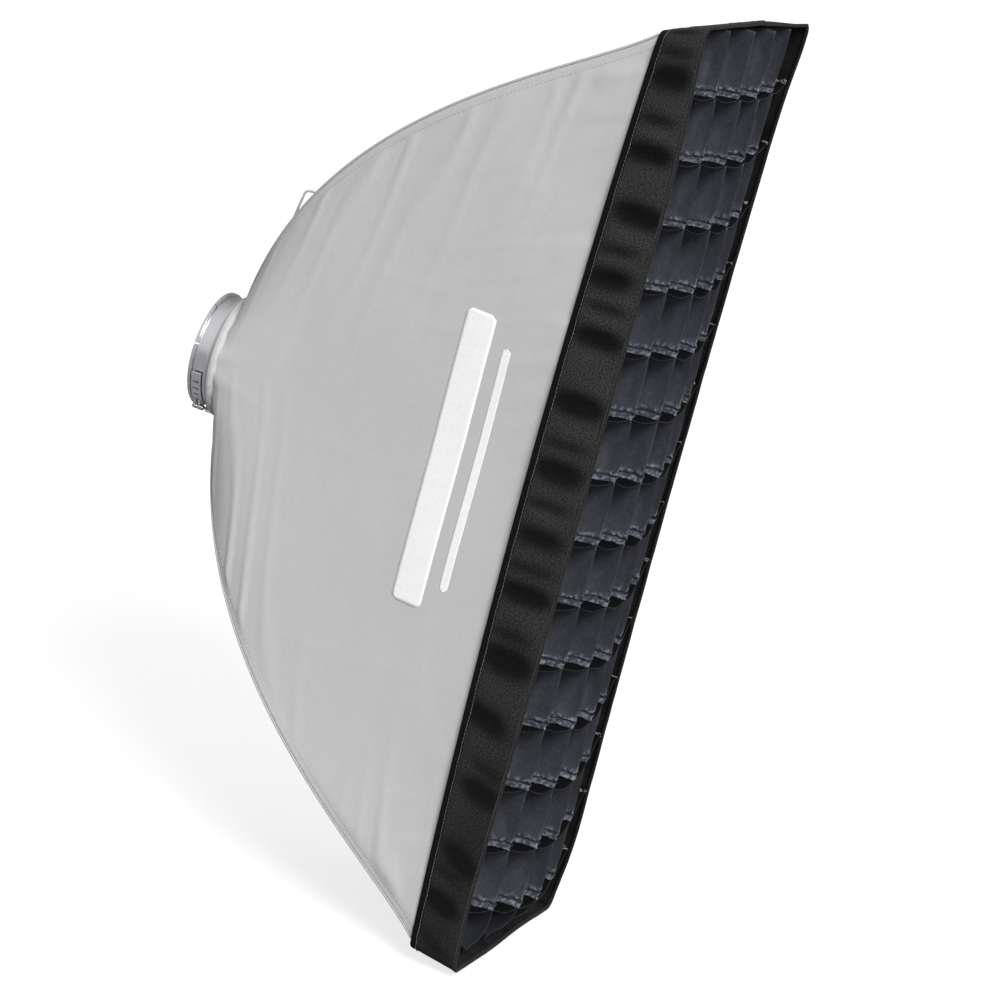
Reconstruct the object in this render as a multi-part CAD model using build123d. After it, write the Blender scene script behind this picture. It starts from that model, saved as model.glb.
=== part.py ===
from build123d import *
from math import atan2, cos, degrees, hypot, pi, radians, sin, sqrt
import os

# A strip softbox with a clamping flash ring, four bent rods and a lift-off soft grid.
# Millimetres, +Z up along the long side, origin on the optical axis at the ring's rear face.
# The softbox extends along -Y. "Depth" below is the distance in front of the rear face.

# Flash ring
BORE_RADIUS = 50.0
SLEEVE_RADIUS = 53.0
FLANGE_RADIUS = 57.3
REAR_FLANGE_DEPTH = 3.0
MIDDLE_FLANGE_START = 16.5
MIDDLE_FLANGE_END = 19.0
SLEEVE_END = 31.0
RELIEF_SLOTS = 8
RELIEF_SLOT_WIDTH = 1.6
RELIEF_SLOT_LENGTH = 15.0
BAND_THICKNESS = 1.2
BAND_START = 4.0
BAND_END = 16.0
BAND_GAP_HALF_ANGLE = 5.0
LATCH_TURN = 12.0

# Rod hub
RUNNING_CLEARANCE = 0.06
HUB_START = 20.4
HUB_END = 27.0
HUB_RADIUS = 60.0
CLIP_THICKNESS = 1.5
SOCKET_RADIUS = 4.8
SOCKET_LENGTH = 16.0
SOCKET_PLAY = 0.45
PANEL_FIRST_SHARE = 0.009
SCREW_RADIUS = 1.4
SCREW_HEAD_RADIUS = 2.4

# Bent rods: control points of the centre curve as (depth, distance from the optical axis)
ROD_CONTROLS = [(32.0, 58.0), (84.6, 299.9), (332.2, 400.9), (403.0, 462.4)]
ROD_RADIUS = 2.5
ROD_END_SHARE = 0.955
CORNER_HALF_WIDTH = 143.6
CORNER_HALF_HEIGHT = 439.5
SLEEVE_TUBE_RADIUS = 4.9
SLEEVE_TUBE_BORE = 3.3
TIP_RADIUS = 3.6
POCKET_BORE = 3.75

# Shell
FABRIC = 0.8
LINING = 0.5
PANEL_EDGE_GAP = 4.3
PANEL_EDGE_LIFT = 4.0
LINING_GAP = 2.2
SIDE_NECK_BULGE = 40.0
SIDE_SAG = 7.0
SHORT_NECK_BULGE = 3.4
SHORT_SAG = 3.0
HEM_HALF_WIDTH = 147.4
HEM_HALF_HEIGHT = 442.9
HEM_START = 406.5
HEM_END = 424.0
HEM_THICKNESS = 0.9
TAPE = 0.6
HEM_CORNER = 6.0

# Access flap in the top panel
FLAP_HALF_LENGTH = 24.0
FLAP_MIDDLE_HEIGHT = 156.0
FLAP_SLIT_EDGE = -40.0
FLAP_FREE_EDGE = -33.0
FLAP_HINGE_EDGE = 30.0

# Diffusers
BAFFLE_DEPTH = 250.0
BAFFLE_HALF_WIDTH = 84.0
BAFFLE_HALF_HEIGHT = 286.0
STRAP_WIDTH = 12.0
DIFFUSER_DEPTH = 407.0
DIFFUSER_HALF_WIDTH = 145.9
DIFFUSER_HALF_HEIGHT = 441.4
DIFFUSER_BORDER = 20.0

# Soft grid
GRID_FRONT = 446.0
SKIRT_REAR = 389.5
SKIRT_CORNER_REAR = 401.0
SKIRT_HALF_WIDTH = 149.9
SKIRT_REAR_HALF_HEIGHT = 445.4
SKIRT_FRONT_HALF_HEIGHT = 459.4
SKIRT_THICKNESS = 1.0
SKIRT_CORNER = 8.0
SHORT_SIDE_BOW = 3.0
BINDING = 0.6
REAR_BINDING_WIDTH = 7.0
FRONT_BINDING_WIDTH = 5.0
GRID_COLUMNS = 5
GRID_ROWS = 15
STRIP = 0.8
STRIP_REAR = 410.5
STRIP_MIDDLE = 427.0
STRIP_FRONT = 444.6
STRIP_SLOT = 1.4
CROSS_SAG = 8.0

LATCH_CENTRE = (BAND_START + BAND_END) / 2
DIAGONAL = degrees(atan2(CORNER_HALF_WIDTH, CORNER_HALF_HEIGHT))
CORNERS = [(-1, 1), (1, 1), (-1, -1), (1, -1)]


def write(node, shape):
    export_step(shape, "parts/" + node + ".step")


def ring(inner, outer, start, end):
    """A tube about the optical axis between two depths."""
    plane = Plane(origin=(0, -start, 0), x_dir=(1, 0, 0), z_dir=(0, -1, 0))
    return extrude(plane * (Circle(outer) - Circle(inner)), end - start)


def sector(inner, outer, start, end, first_angle, last_angle):
    """Part of a tube. Angles run from straight down towards +X."""
    points = [(0, 0)]
    steps = 24
    for step in range(steps + 1):
        angle = radians(first_angle + (last_angle - first_angle) * step / steps)
        points.append((2 * outer * sin(angle), -2 * outer * cos(angle)))
    wedge = extrude(Plane.XZ * Polygon(*points, align=None), end + 10)
    return ring(inner, outer, start, end) & wedge


def axial_cylinder(x, z, radius, start, end):
    """A cylinder parallel to the optical axis between two depths."""
    plane = Plane(origin=(x, -start, z), x_dir=(1, 0, 0), z_dir=(0, -1, 0))
    return extrude(plane * Circle(radius), end - start)


def rounded_frame(half_width, half_height, corner, depth):
    plane = Plane(origin=(0, -depth, 0), x_dir=(1, 0, 0), z_dir=(0, -1, 0))
    return plane * RectangleRounded(2 * half_width, 2 * half_height, corner)


def rectangular_band(half_width, half_height, thickness, start, end, corner):
    """A rounded rectangular tube about the optical axis, measured on its outside."""
    outer = extrude(rounded_frame(half_width, half_height, corner, start), end - start)
    inner = extrude(
        rounded_frame(half_width - thickness, half_height - thickness, corner - thickness / 2, start - 1),
        end - start + 2,
    )
    return outer - inner


# ---------------------------------------------------------------- flash ring


def mount_ring():
    body = ring(BORE_RADIUS, SLEEVE_RADIUS, 0, SLEEVE_END)
    body += ring(BORE_RADIUS, FLANGE_RADIUS, 0, REAR_FLANGE_DEPTH)
    body += ring(BORE_RADIUS, FLANGE_RADIUS, MIDDLE_FLANGE_START, MIDDLE_FLANGE_END)
    for slot in range(RELIEF_SLOTS):
        cutter = Box(RELIEF_SLOT_WIDTH, RELIEF_SLOT_LENGTH, 20)
        cutter = Pos(0, -RELIEF_SLOT_LENGTH / 2 + 0.5, -FLANGE_RADIUS) * cutter
        body -= Rot(0, LATCH_TURN + 360 / RELIEF_SLOTS * slot, 0) * cutter
    groove = ring(SLEEVE_RADIUS - 1.2, SLEEVE_RADIUS + 1, HUB_END + 0.3, HUB_END + 0.3 + CLIP_THICKNESS + 0.2)
    return body - groove


def friction_ring():
    return ring(SLEEVE_RADIUS + 0.3, SLEEVE_RADIUS + 3.3, MIDDLE_FLANGE_END + 0.05, HUB_START - 0.05)


def retaining_clip():
    start = HUB_END + 0.4
    clip = ring(SLEEVE_RADIUS - 1.1, SLEEVE_RADIUS + 2.4, start, start + CLIP_THICKNESS)
    gap = Pos(0, -start, SLEEVE_RADIUS) * Box(14, 10, 14)
    return clip - gap


def clamp_band():
    inner = SLEEVE_RADIUS + 0.05
    return sector(
        inner, inner + BAND_THICKNESS, BAND_START, BAND_END, BAND_GAP_HALF_ANGLE, 360 - BAND_GAP_HALF_ANGLE
    )


# The latch is built under the ring, then turned about the optical axis.
BAND_OUTSIDE = SLEEVE_RADIUS + 0.05 + BAND_THICKNESS
LEVER_PIVOT = (-14.0, -58.5)
LINK_PIVOT = (-20.0, -58.2)
KEEPER_BAR = (12.0, -58.3)
LUG_HALF_WIDTH = 2.0
CHEEK_INNER = 2.3
CHEEK_OUTER = 3.6
WIRE_INNER = 3.75
WIRE_OUTER = 5.35
PIN_RADIUS = 1.5
LINK_PIN_RADIUS = 1.2


def turned(shape):
    return Rot(0, LATCH_TURN, 0) * shape


def upright(sketch, near, far):
    """Extrudes an X-Z sketch between two distances from the latch's middle plane."""
    plane_depth = LATCH_CENTRE + near
    return Pos(0, -plane_depth, 0) * extrude(Plane.XZ * sketch, far - near, dir=(0, -1, 0))


def disc(centre, radius):
    return Pos(centre[0], centre[1]) * Circle(radius)


def latch_bracket():
    saddle = sector(BAND_OUTSIDE, BAND_OUTSIDE + 1.0, BAND_START + 1, BAND_END - 1, -19, -6)
    lug = disc(LEVER_PIVOT, 2.6)
    lug += Polygon((-16.6, -58.4), (-11.4, -58.4), (-8.4, -54.0), (-17.0, -52.4), align=None)
    solid = upright(lug, -LUG_HALF_WIDTH, LUG_HALF_WIDTH)
    solid -= ring(0.0001, BAND_OUTSIDE, -10, 40)
    solid = saddle + solid
    solid -= axial_cylinder(LEVER_PIVOT[0], LEVER_PIVOT[1], PIN_RADIUS + 0.03, -5, 40)
    return turned(solid)


def latch_keeper():
    saddle = sector(BAND_OUTSIDE, BAND_OUTSIDE + 1.0, BAND_START + 1, BAND_END - 1, 6, 15)
    hook = Polygon(
        (8.0, -53.0), (10.6, -53.0), (10.6, -60.6), (13.4, -60.6), (13.4, -61.8), (9.0, -61.8), (8.0, -60.8),
        align=None,
    )
    solid = upright(hook, -2.8, 2.8) - ring(0.0001, BAND_OUTSIDE, -10, 40)
    return turned(saddle + solid)


def lever_pin():
    x, z = LEVER_PIVOT
    return turned(axial_cylinder(x, z, PIN_RADIUS, LATCH_CENTRE - CHEEK_OUTER, LATCH_CENTRE + CHEEK_OUTER))


def link_pin():
    x, z = LINK_PIVOT
    return turned(axial_cylinder(x, z, LINK_PIN_RADIUS, LATCH_CENTRE - 5.9, LATCH_CENTRE + 5.9))


def latch_lever():
    cheek = Polygon(
        (-12.5, -60.9), (-21.5, -60.6), (-25.5, -58.5), (-26.5, -52.6), (-24.6, -51.8), (-20.0, -55.8),
        (-13.0, -55.9), (-11.3, -57.5), (-11.2, -59.6), align=None,
    )
    solid = upright(cheek, -CHEEK_OUTER, -CHEEK_INNER) + upright(cheek, CHEEK_INNER, CHEEK_OUTER)
    arm = sector(56.2, 58.2, LATCH_CENTRE - 5.2, LATCH_CENTRE + 5.2, -62, -26)
    grip = sector(58.0, 59.0, LATCH_CENTRE - 5.2, LATCH_CENTRE + 5.2, -62, -58)
    solid = solid + arm + grip
    for angle in (-36, -44, -52):
        slot = Pos(0, -LATCH_CENTRE, -57) * Box(2.0, 6.0, 12)
        solid -= Rot(0, -angle, 0) * slot
    solid -= axial_cylinder(LEVER_PIVOT[0], LEVER_PIVOT[1], PIN_RADIUS + 0.05, -5, 40)
    solid -= axial_cylinder(LINK_PIVOT[0], LINK_PIVOT[1], LINK_PIN_RADIUS + 0.03, -5, 40)
    return turned(solid)


def latch_link():
    wire = disc(LINK_PIVOT, 2.2) + disc(KEEPER_BAR, 1.0)
    wire += Polygon((-20.0, -59.2), (12.0, -59.3), (12.0, -57.3), (-20.0, -57.2), align=None)
    solid = upright(wire, -WIRE_OUTER, -WIRE_INNER) + upright(wire, WIRE_INNER, WIRE_OUTER)
    x, z = KEEPER_BAR
    solid += axial_cylinder(x, z, 1.0, LATCH_CENTRE - WIRE_OUTER, LATCH_CENTRE + WIRE_OUTER)
    solid -= axial_cylinder(LINK_PIVOT[0], LINK_PIVOT[1], LINK_PIN_RADIUS + 0.05, -5, 40)
    return turned(solid)


# ---------------------------------------------------------------- rods


def rod_profile(share):
    """Depth and distance from the axis at a share of the centre curve."""
    rest = 1 - share
    weights = [rest**3, 3 * rest**2 * share, 3 * rest * share**2, share**3]
    depth = sum(w * c[0] for w, c in zip(weights, ROD_CONTROLS))
    distance = sum(w * c[1] for w, c in zip(weights, ROD_CONTROLS))
    return depth, distance


def rod_point(corner, share):
    depth, distance = rod_profile(share)
    side = distance * sin(radians(DIAGONAL))
    height = distance * cos(radians(DIAGONAL))
    return Vector(corner[0] * side, -depth, corner[1] * height)


def rod_tangent(corner, share):
    step = 0.0005
    return (rod_point(corner, share + step) - rod_point(corner, share - step)).normalized()


def rod_curve(corner, first, last, count=14):
    shares = [first + (last - first) * i / (count - 1) for i in range(count)]
    points = [rod_point(corner, share) for share in shares]
    return Spline(*points, tangents=[rod_tangent(corner, first), rod_tangent(corner, last)])


def tube_along(corner, first, last, outer, inner=0.0):
    path = rod_curve(corner, first, last)
    plane = Plane(origin=rod_point(corner, first), z_dir=rod_tangent(corner, first))
    section = Circle(outer)
    if inner > 0:
        section -= Circle(inner)
    return sweep(plane * section, path=path)


def end_cylinder(corner, share, radius, start, end):
    """A straight cylinder on the rod's tangent line, between two distances from the point."""
    direction = rod_tangent(corner, share)
    origin = rod_point(corner, share) + direction * start
    return extrude(Plane(origin=origin, z_dir=direction) * Circle(radius), end - start)


def rod(corner):
    return tube_along(corner, 0, ROD_END_SHARE, ROD_RADIUS)


def rod_tips():
    tips = []
    for corner in CORNERS:
        tip = end_cylinder(corner, ROD_END_SHARE, TIP_RADIUS, -9, 3)
        tips.append(tip - end_cylinder(corner, ROD_END_SHARE, ROD_RADIUS + 0.1, -20, 0.2))
    return Compound(children=tips)


def corner_pockets():
    pockets = []
    for corner in CORNERS:
        pocket = end_cylinder(corner, ROD_END_SHARE, SLEEVE_TUBE_RADIUS, -10, 4.4)
        pockets.append(pocket - end_cylinder(corner, ROD_END_SHARE, POCKET_BORE, -20, 3.3))
    return Compound(children=pockets)


def rod_sleeves():
    return Compound(
        children=[tube_along(c, 0.026, 0.915, SLEEVE_TUBE_RADIUS, SLEEVE_TUBE_BORE) for c in CORNERS]
    )


# ---------------------------------------------------------------- rod hub


def screw_places():
    """Screw centres on the hub's front face, two beside each socket."""
    places = []
    for corner in CORNERS:
        for offset in (-9.5, 9.5):
            angle = radians(DIAGONAL + offset)
            places.append((corner[0] * 57.4 * sin(angle), corner[1] * 57.4 * cos(angle)))
    return places


def hub_ring():
    body = ring(SLEEVE_RADIUS + RUNNING_CLEARANCE, HUB_RADIUS, HUB_START, HUB_END)
    for x, z in screw_places():
        body -= axial_cylinder(x, z, SCREW_RADIUS + 0.1, HUB_END - 5, HUB_END + 1)
    return body


def rod_sockets():
    sockets = []
    for corner in CORNERS:
        turn = corner[0] * corner[1] * DIAGONAL
        foot = sector(56.0, 59.6, HUB_END, HUB_END + 3.0, -13, 13)
        if corner[1] > 0:
            foot = Rot(0, 180, 0) * foot
        foot = Rot(0, turn, 0) * foot
        socket = foot + end_cylinder(corner, 0, SOCKET_RADIUS, -1.2, SOCKET_LENGTH)
        socket -= end_cylinder(corner, 0, ROD_RADIUS + SOCKET_PLAY, -0.1, SOCKET_LENGTH + 5)
        socket -= ring(0.0001, SLEEVE_RADIUS + 2.9, 20, 60)
        socket -= ring(0.0001, 200, 0, HUB_END)
        for x, z in screw_places():
            socket -= axial_cylinder(x, z, SCREW_RADIUS + 0.1, HUB_END - 5, HUB_END + 12)
            socket -= axial_cylinder(x, z, SCREW_HEAD_RADIUS + 0.2, HUB_END + 3.0, HUB_END + 12)
        sockets.append(socket)
    return Compound(children=sockets)


def socket_screws():
    screws = []
    for x, z in screw_places():
        screw = axial_cylinder(x, z, SCREW_RADIUS, HUB_END - 4.5, HUB_END + 3.5)
        screw += axial_cylinder(x, z, SCREW_HEAD_RADIUS, HUB_END + 3.05, HUB_END + 4.6)
        screws.append(screw)
    return Compound(children=screws)


def neck_collar():
    return ring(HUB_RADIUS + 0.3, HUB_RADIUS + 1.6, HUB_START + 0.2, HUB_END - 0.6)


# ---------------------------------------------------------------- shell panels

SIDES = {
    "left": ((-1, 1), (-1, -1), Vector(-1, 0, 0)),
    "right": ((1, 1), (1, -1), Vector(1, 0, 0)),
    "top": ((-1, 1), (1, 1), Vector(0, 0, 1)),
    "bottom": ((-1, -1), (1, -1), Vector(0, 0, -1)),
}


def panel_bulge(side, share):
    """How far the middle of a panel stands outside the straight line between its rods."""
    if side in ("left", "right"):
        neck = SIDE_NECK_BULGE * max(0.0, 1 - share / 0.42) ** 2
        return neck - SIDE_SAG * sin(pi * share) ** 2
    neck = SHORT_NECK_BULGE * max(0.0, 1 - share / 0.2) ** 2
    return neck - SHORT_SAG * sin(pi * share) ** 2


def panel_edge(side, share, which, depth):
    first, last, outward = SIDES[side]
    corner, other = (first, last) if which == 0 else (last, first)
    here = rod_point(corner, share)
    chord = rod_point(other, share) - here
    leaving = chord.normalized() * chord.length + outward * (4 * panel_bulge(side, share))
    tangent = rod_tangent(corner, share)
    across = (leaving - tangent * leaving.dot(tangent)).normalized()
    normal = across.cross(tangent).normalized()
    if normal.dot(outward + Vector(0, 0.5, 0)) < 0:
        normal = normal * -1
    return here + across * PANEL_EDGE_GAP + normal * (PANEL_EDGE_LIFT - depth)


def panel_point(side, share, across, depth=0.0):
    start = panel_edge(side, share, 0, depth)
    end = panel_edge(side, share, 1, depth)
    bulge = 4 * across * (1 - across) * panel_bulge(side, share)
    return start + (end - start) * across + SIDES[side][2] * bulge


def panel_sheet(side, depth, thickness, shares, trim):
    """A thin curved sheet that follows the panel, thickened towards the inside."""
    rows = 15
    columns = 11
    grid = []
    for i in range(rows):
        share = shares[0] + (shares[1] - shares[0]) * (i / (rows - 1)) ** 1.25
        line = []
        for j in range(columns):
            across = trim + (1 - 2 * trim) * j / (columns - 1)
            line.append(panel_point(side, share, across, depth))
        grid.append(line)
    face = Face.make_surface_from_array_of_points(grid, tol=0.05, min_deg=3, max_deg=5)
    outward = SIDES[side][2] + Vector(0, 0.5, 0)
    sign = -1 if face.normal_at(face.position_at(0.5, 0.5)).dot(outward) > 0 else 1
    return thicken(face, amount=sign * thickness)


def panel(side):
    return panel_sheet(side, 0.0, FABRIC, (PANEL_FIRST_SHARE, 1.0), 0.0)


def lining(side):
    trim = 0.035 if side in ("left", "right") else 0.06
    return panel_sheet(side, LINING_GAP, LINING, (0.05, 0.96), trim)


def flap_cutter(free_edge, hinge_edge, half_length):
    width = hinge_edge - free_edge
    middle = (hinge_edge + free_edge) / 2
    return Pos(middle, -70, FLAP_MIDDLE_HEIGHT) * Box(width, 80, 2 * half_length)


def top_panel():
    return panel("top") - flap_cutter(FLAP_SLIT_EDGE, FLAP_HINGE_EDGE, FLAP_HALF_LENGTH)


def access_flap():
    return panel("top") & flap_cutter(FLAP_FREE_EDGE, FLAP_HINGE_EDGE - 1.5, FLAP_HALF_LENGTH - 0.8)


def top_lining():
    return lining("top") - flap_cutter(FLAP_SLIT_EDGE - 2, FLAP_HINGE_EDGE + 2, FLAP_HALF_LENGTH + 2)


def front_hem():
    return rectangular_band(
        HEM_HALF_WIDTH, HEM_HALF_HEIGHT, HEM_THICKNESS, HEM_START, HEM_END, HEM_CORNER
    )


def hem_loop_tape():
    """Four straight tapes on the outside of the hem, stopping short of its corners."""
    tapes = []
    height = 2 * (HEM_HALF_HEIGHT - HEM_CORNER - 2)
    width = 2 * (HEM_HALF_WIDTH - HEM_CORNER - 2)
    middle = -(HEM_START + HEM_END) / 2
    length = HEM_END - HEM_START - 3
    for side in (-1, 1):
        tapes.append(Pos(side * (HEM_HALF_WIDTH + TAPE / 2), middle, 0) * Box(TAPE, length, height))
        tapes.append(Pos(0, middle, side * (HEM_HALF_HEIGHT + TAPE / 2)) * Box(width, length, TAPE))
    return Compound(children=tapes)


# ---------------------------------------------------------------- diffusers


def share_at_depth(depth):
    low, high = 0.0, 1.0
    for _ in range(40):
        middle = (low + high) / 2
        if rod_profile(middle)[0] < depth:
            low = middle
        else:
            high = middle
    return low


def inner_baffle():
    return extrude(rounded_frame(BAFFLE_HALF_WIDTH, BAFFLE_HALF_HEIGHT, 12, BAFFLE_DEPTH), FABRIC)


def baffle_strap_line(corner):
    """Start and end of the strap's middle line, from the baffle's corner to the rod sleeve."""
    start = Vector(corner[0] * (BAFFLE_HALF_WIDTH - 10), -BAFFLE_DEPTH, corner[1] * (BAFFLE_HALF_HEIGHT - 10))
    rod_here = rod_point(corner, share_at_depth(BAFFLE_DEPTH))
    direction = (rod_here - start).normalized()
    return start, rod_here - direction * (SLEEVE_TUBE_RADIUS + 4.5), direction


def baffle_straps():
    straps = []
    for corner in CORNERS:
        start, end, direction = baffle_strap_line(corner)
        length = (end - start).length
        plane = Plane(origin=(start + end) * 0.5 + Vector(0, 0.1, 0), x_dir=direction, z_dir=(0, 1, 0))
        straps.append(extrude(plane * Rectangle(length, STRAP_WIDTH), 0.8))
    return Compound(children=straps)


def baffle_snaps():
    snaps = []
    for corner in CORNERS:
        start, _, direction = baffle_strap_line(corner)
        centre = start + direction * 5
        top = extrude(
            Plane(origin=centre + Vector(0, 0.95, 0), x_dir=direction, z_dir=(0, 1, 0)) * Circle(5.0), 1.8
        )
        snaps.append(top)
    return Compound(children=snaps)


def front_diffuser():
    return extrude(
        rounded_frame(DIFFUSER_HALF_WIDTH, DIFFUSER_HALF_HEIGHT, HEM_CORNER, DIFFUSER_DEPTH), 0.7
    )


def diffuser_border():
    return rectangular_band(
        DIFFUSER_HALF_WIDTH, DIFFUSER_HALF_HEIGHT, DIFFUSER_BORDER, DIFFUSER_DEPTH + 0.75, DIFFUSER_DEPTH + 1.75,
        HEM_CORNER + DIFFUSER_BORDER / 2,
    )


def diffuser_pull_tab():
    tab = Pos(100, -(DIFFUSER_DEPTH + 2.2), -(DIFFUSER_HALF_HEIGHT - 24)) * Box(20, 0.8, 34)
    return fillet(tab.edges().filter_by(Axis.Y), 4)


# ---------------------------------------------------------------- soft grid


def skirt_form(offset, rear):
    """The skirt's outside form grown by an offset: straight over the hem, then flaring."""
    width = SKIRT_HALF_WIDTH + offset
    corner = SKIRT_CORNER + offset
    straight = extrude(
        rounded_frame(width, SKIRT_REAR_HALF_HEIGHT + offset, corner, rear), SKIRT_CORNER_REAR - rear
    )
    flare = loft(
        [
            rounded_frame(width, SKIRT_REAR_HALF_HEIGHT + offset, corner, SKIRT_CORNER_REAR),
            rounded_frame(width, SKIRT_FRONT_HALF_HEIGHT + offset, corner, GRID_FRONT),
        ]
    )
    return straight + flare


def skirt_inside():
    """Everything inside the skirt's wall, running out past the front edge."""
    front = extrude(
        rounded_frame(
            SKIRT_HALF_WIDTH - SKIRT_THICKNESS,
            SKIRT_FRONT_HALF_HEIGHT - SKIRT_THICKNESS,
            SKIRT_CORNER - SKIRT_THICKNESS,
            GRID_FRONT,
        ),
        5,
    )
    return skirt_form(-SKIRT_THICKNESS, SKIRT_REAR - 5) + front


def behind_rear_edge(shift):
    """All space behind the skirt's rear edge, which bows back between the corners."""
    rear = -(SKIRT_REAR + shift)
    corner = -(SKIRT_CORNER_REAR + shift)
    reach = SKIRT_REAR_HALF_HEIGHT + 30
    arc = ThreePointArc((corner, -reach), (rear, 0), (corner, reach))
    outline = arc + Polyline((corner, reach), (60, reach), (60, -reach), (corner, -reach))
    long_sides = extrude(Plane.YZ * make_face(outline), 400, both=True)
    half_width = SKIRT_HALF_WIDTH + 30
    bow = corner + SHORT_SIDE_BOW
    arc = ThreePointArc((-half_width, corner), (0, bow), (half_width, corner))
    outline = arc + Polyline((half_width, corner), (half_width, 60), (-half_width, 60), (-half_width, corner))
    short_sides = extrude(Plane.XY * make_face(outline), 700, both=True)
    top_zone = Pos(0, 0, SKIRT_REAR_HALF_HEIGHT + 96) * Box(2000, 2000, 200)
    bottom_zone = Pos(0, 0, -SKIRT_REAR_HALF_HEIGHT - 96) * Box(2000, 2000, 200)
    ends = top_zone + bottom_zone
    return (long_sides - ends) + (short_sides & ends)


def grid_skirt():
    return skirt_form(0, SKIRT_REAR - 1) - skirt_inside() - behind_rear_edge(0)


def skirt_rear_binding():
    band = skirt_form(BINDING, SKIRT_REAR - 1) - skirt_form(0.02, SKIRT_REAR - 2)
    band -= behind_rear_edge(-0.4)
    return band & behind_rear_edge(REAR_BINDING_WIDTH)


def skirt_front_binding():
    band = skirt_form(BINDING, SKIRT_REAR - 1) - skirt_form(0.02, SKIRT_REAR - 2)
    start = GRID_FRONT - FRONT_BINDING_WIDTH
    front_zone = Pos(0, -(start + 50), 0) * Box(2000, 100, 2000)
    return band & front_zone


def grid_hook_tape():
    tapes = []
    middle = -(HEM_START + HEM_END) / 2
    for side in (-1, 1):
        inner = HEM_HALF_WIDTH + TAPE + 0.2
        outer = SKIRT_HALF_WIDTH - SKIRT_THICKNESS - 0.05
        tapes.append(Pos(side * (inner + outer) / 2, middle, 0) * Box(outer - inner, 16, 860))
    return Compound(children=tapes)


def column_places():
    pitch = 2 * (SKIRT_HALF_WIDTH - SKIRT_THICKNESS) / GRID_COLUMNS
    return [pitch * (i - GRID_COLUMNS / 2) for i in range(1, GRID_COLUMNS)]


def row_places():
    pitch = 2 * SKIRT_FRONT_HALF_HEIGHT / GRID_ROWS
    return [pitch * (i - GRID_ROWS / 2) for i in range(1, GRID_ROWS)]


def sag_at(x):
    return CROSS_SAG * (1 - (x / SKIRT_HALF_WIDTH) ** 2)


def grid_long_strips():
    """Strips along Z. Slots in their rear half let the cross strips pass."""
    inner_height = HEM_HALF_HEIGHT - HEM_THICKNESS - 1.2
    clear = HEM_END + 1.0
    slope = (SKIRT_FRONT_HALF_HEIGHT - SKIRT_REAR_HALF_HEIGHT) / (GRID_FRONT - SKIRT_CORNER_REAR)
    middle_height = SKIRT_REAR_HALF_HEIGHT + slope * (clear - SKIRT_CORNER_REAR) - SKIRT_THICKNESS - 0.4
    front_height = SKIRT_REAR_HALF_HEIGHT + slope * (STRIP_FRONT - SKIRT_CORNER_REAR) - SKIRT_THICKNESS - 0.4
    half = [
        (-STRIP_REAR, inner_height), (-clear, inner_height), (-clear, middle_height), (-STRIP_FRONT, front_height)
    ]
    outline = half + [(y, -z) for y, z in reversed(half)]
    strips = []
    for x in column_places():
        strip = Pos(x - STRIP / 2, 0, 0) * extrude(Plane.YZ * Polygon(*outline, align=None), STRIP)
        for z in row_places():
            length = STRIP_MIDDLE - STRIP_REAR + 1
            middle = -(STRIP_MIDDLE - length / 2)
            strip -= Pos(x, middle, z - sag_at(x)) * Box(6, length, STRIP_SLOT)
        strips.append(strip)
    return Compound(children=strips)


def grid_cross_strips():
    """Strips along X that sag in the middle. Slots in their front half let the long strips pass."""
    inner = HEM_HALF_WIDTH - HEM_THICKNESS - 0.5
    outer = SKIRT_HALF_WIDTH - SKIRT_THICKNESS - 0.4
    strips = []
    for z in row_places():
        low = ThreePointArc(
            (-outer, z - sag_at(outer) - STRIP / 2), (0, z - CROSS_SAG - STRIP / 2), (outer, z - sag_at(outer) - STRIP / 2)
        )
        high = ThreePointArc(
            (-outer, z - sag_at(outer) + STRIP / 2), (0, z - CROSS_SAG + STRIP / 2), (outer, z - sag_at(outer) + STRIP / 2)
        )
        outline = low + high + Line(low @ 0, high @ 0) + Line(low @ 1, high @ 1)
        plane = Plane(origin=(0, -STRIP_REAR, 0), x_dir=(1, 0, 0), z_dir=(0, -1, 0))
        mirrored = Plane(origin=(0, 0, 0), x_dir=(1, 0, 0), z_dir=(0, -1, 0))
        strip = Pos(0, -STRIP_REAR, 0) * extrude(Plane.XZ * make_face(outline), STRIP_FRONT - STRIP_REAR)
        for side in (-1, 1):
            length = HEM_END + 1.0 - STRIP_REAR
            strip -= Pos(side * (inner + 10), -(STRIP_REAR + length / 2), z) * Box(20, length + 1, 60)
        for x in column_places():
            length = STRIP_FRONT - STRIP_MIDDLE + 1
            strip -= Pos(x, -(STRIP_MIDDLE + length / 2), z - sag_at(x)) * Box(STRIP_SLOT, length, 8)
        strips.append(strip)
    return Compound(children=strips)


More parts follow.
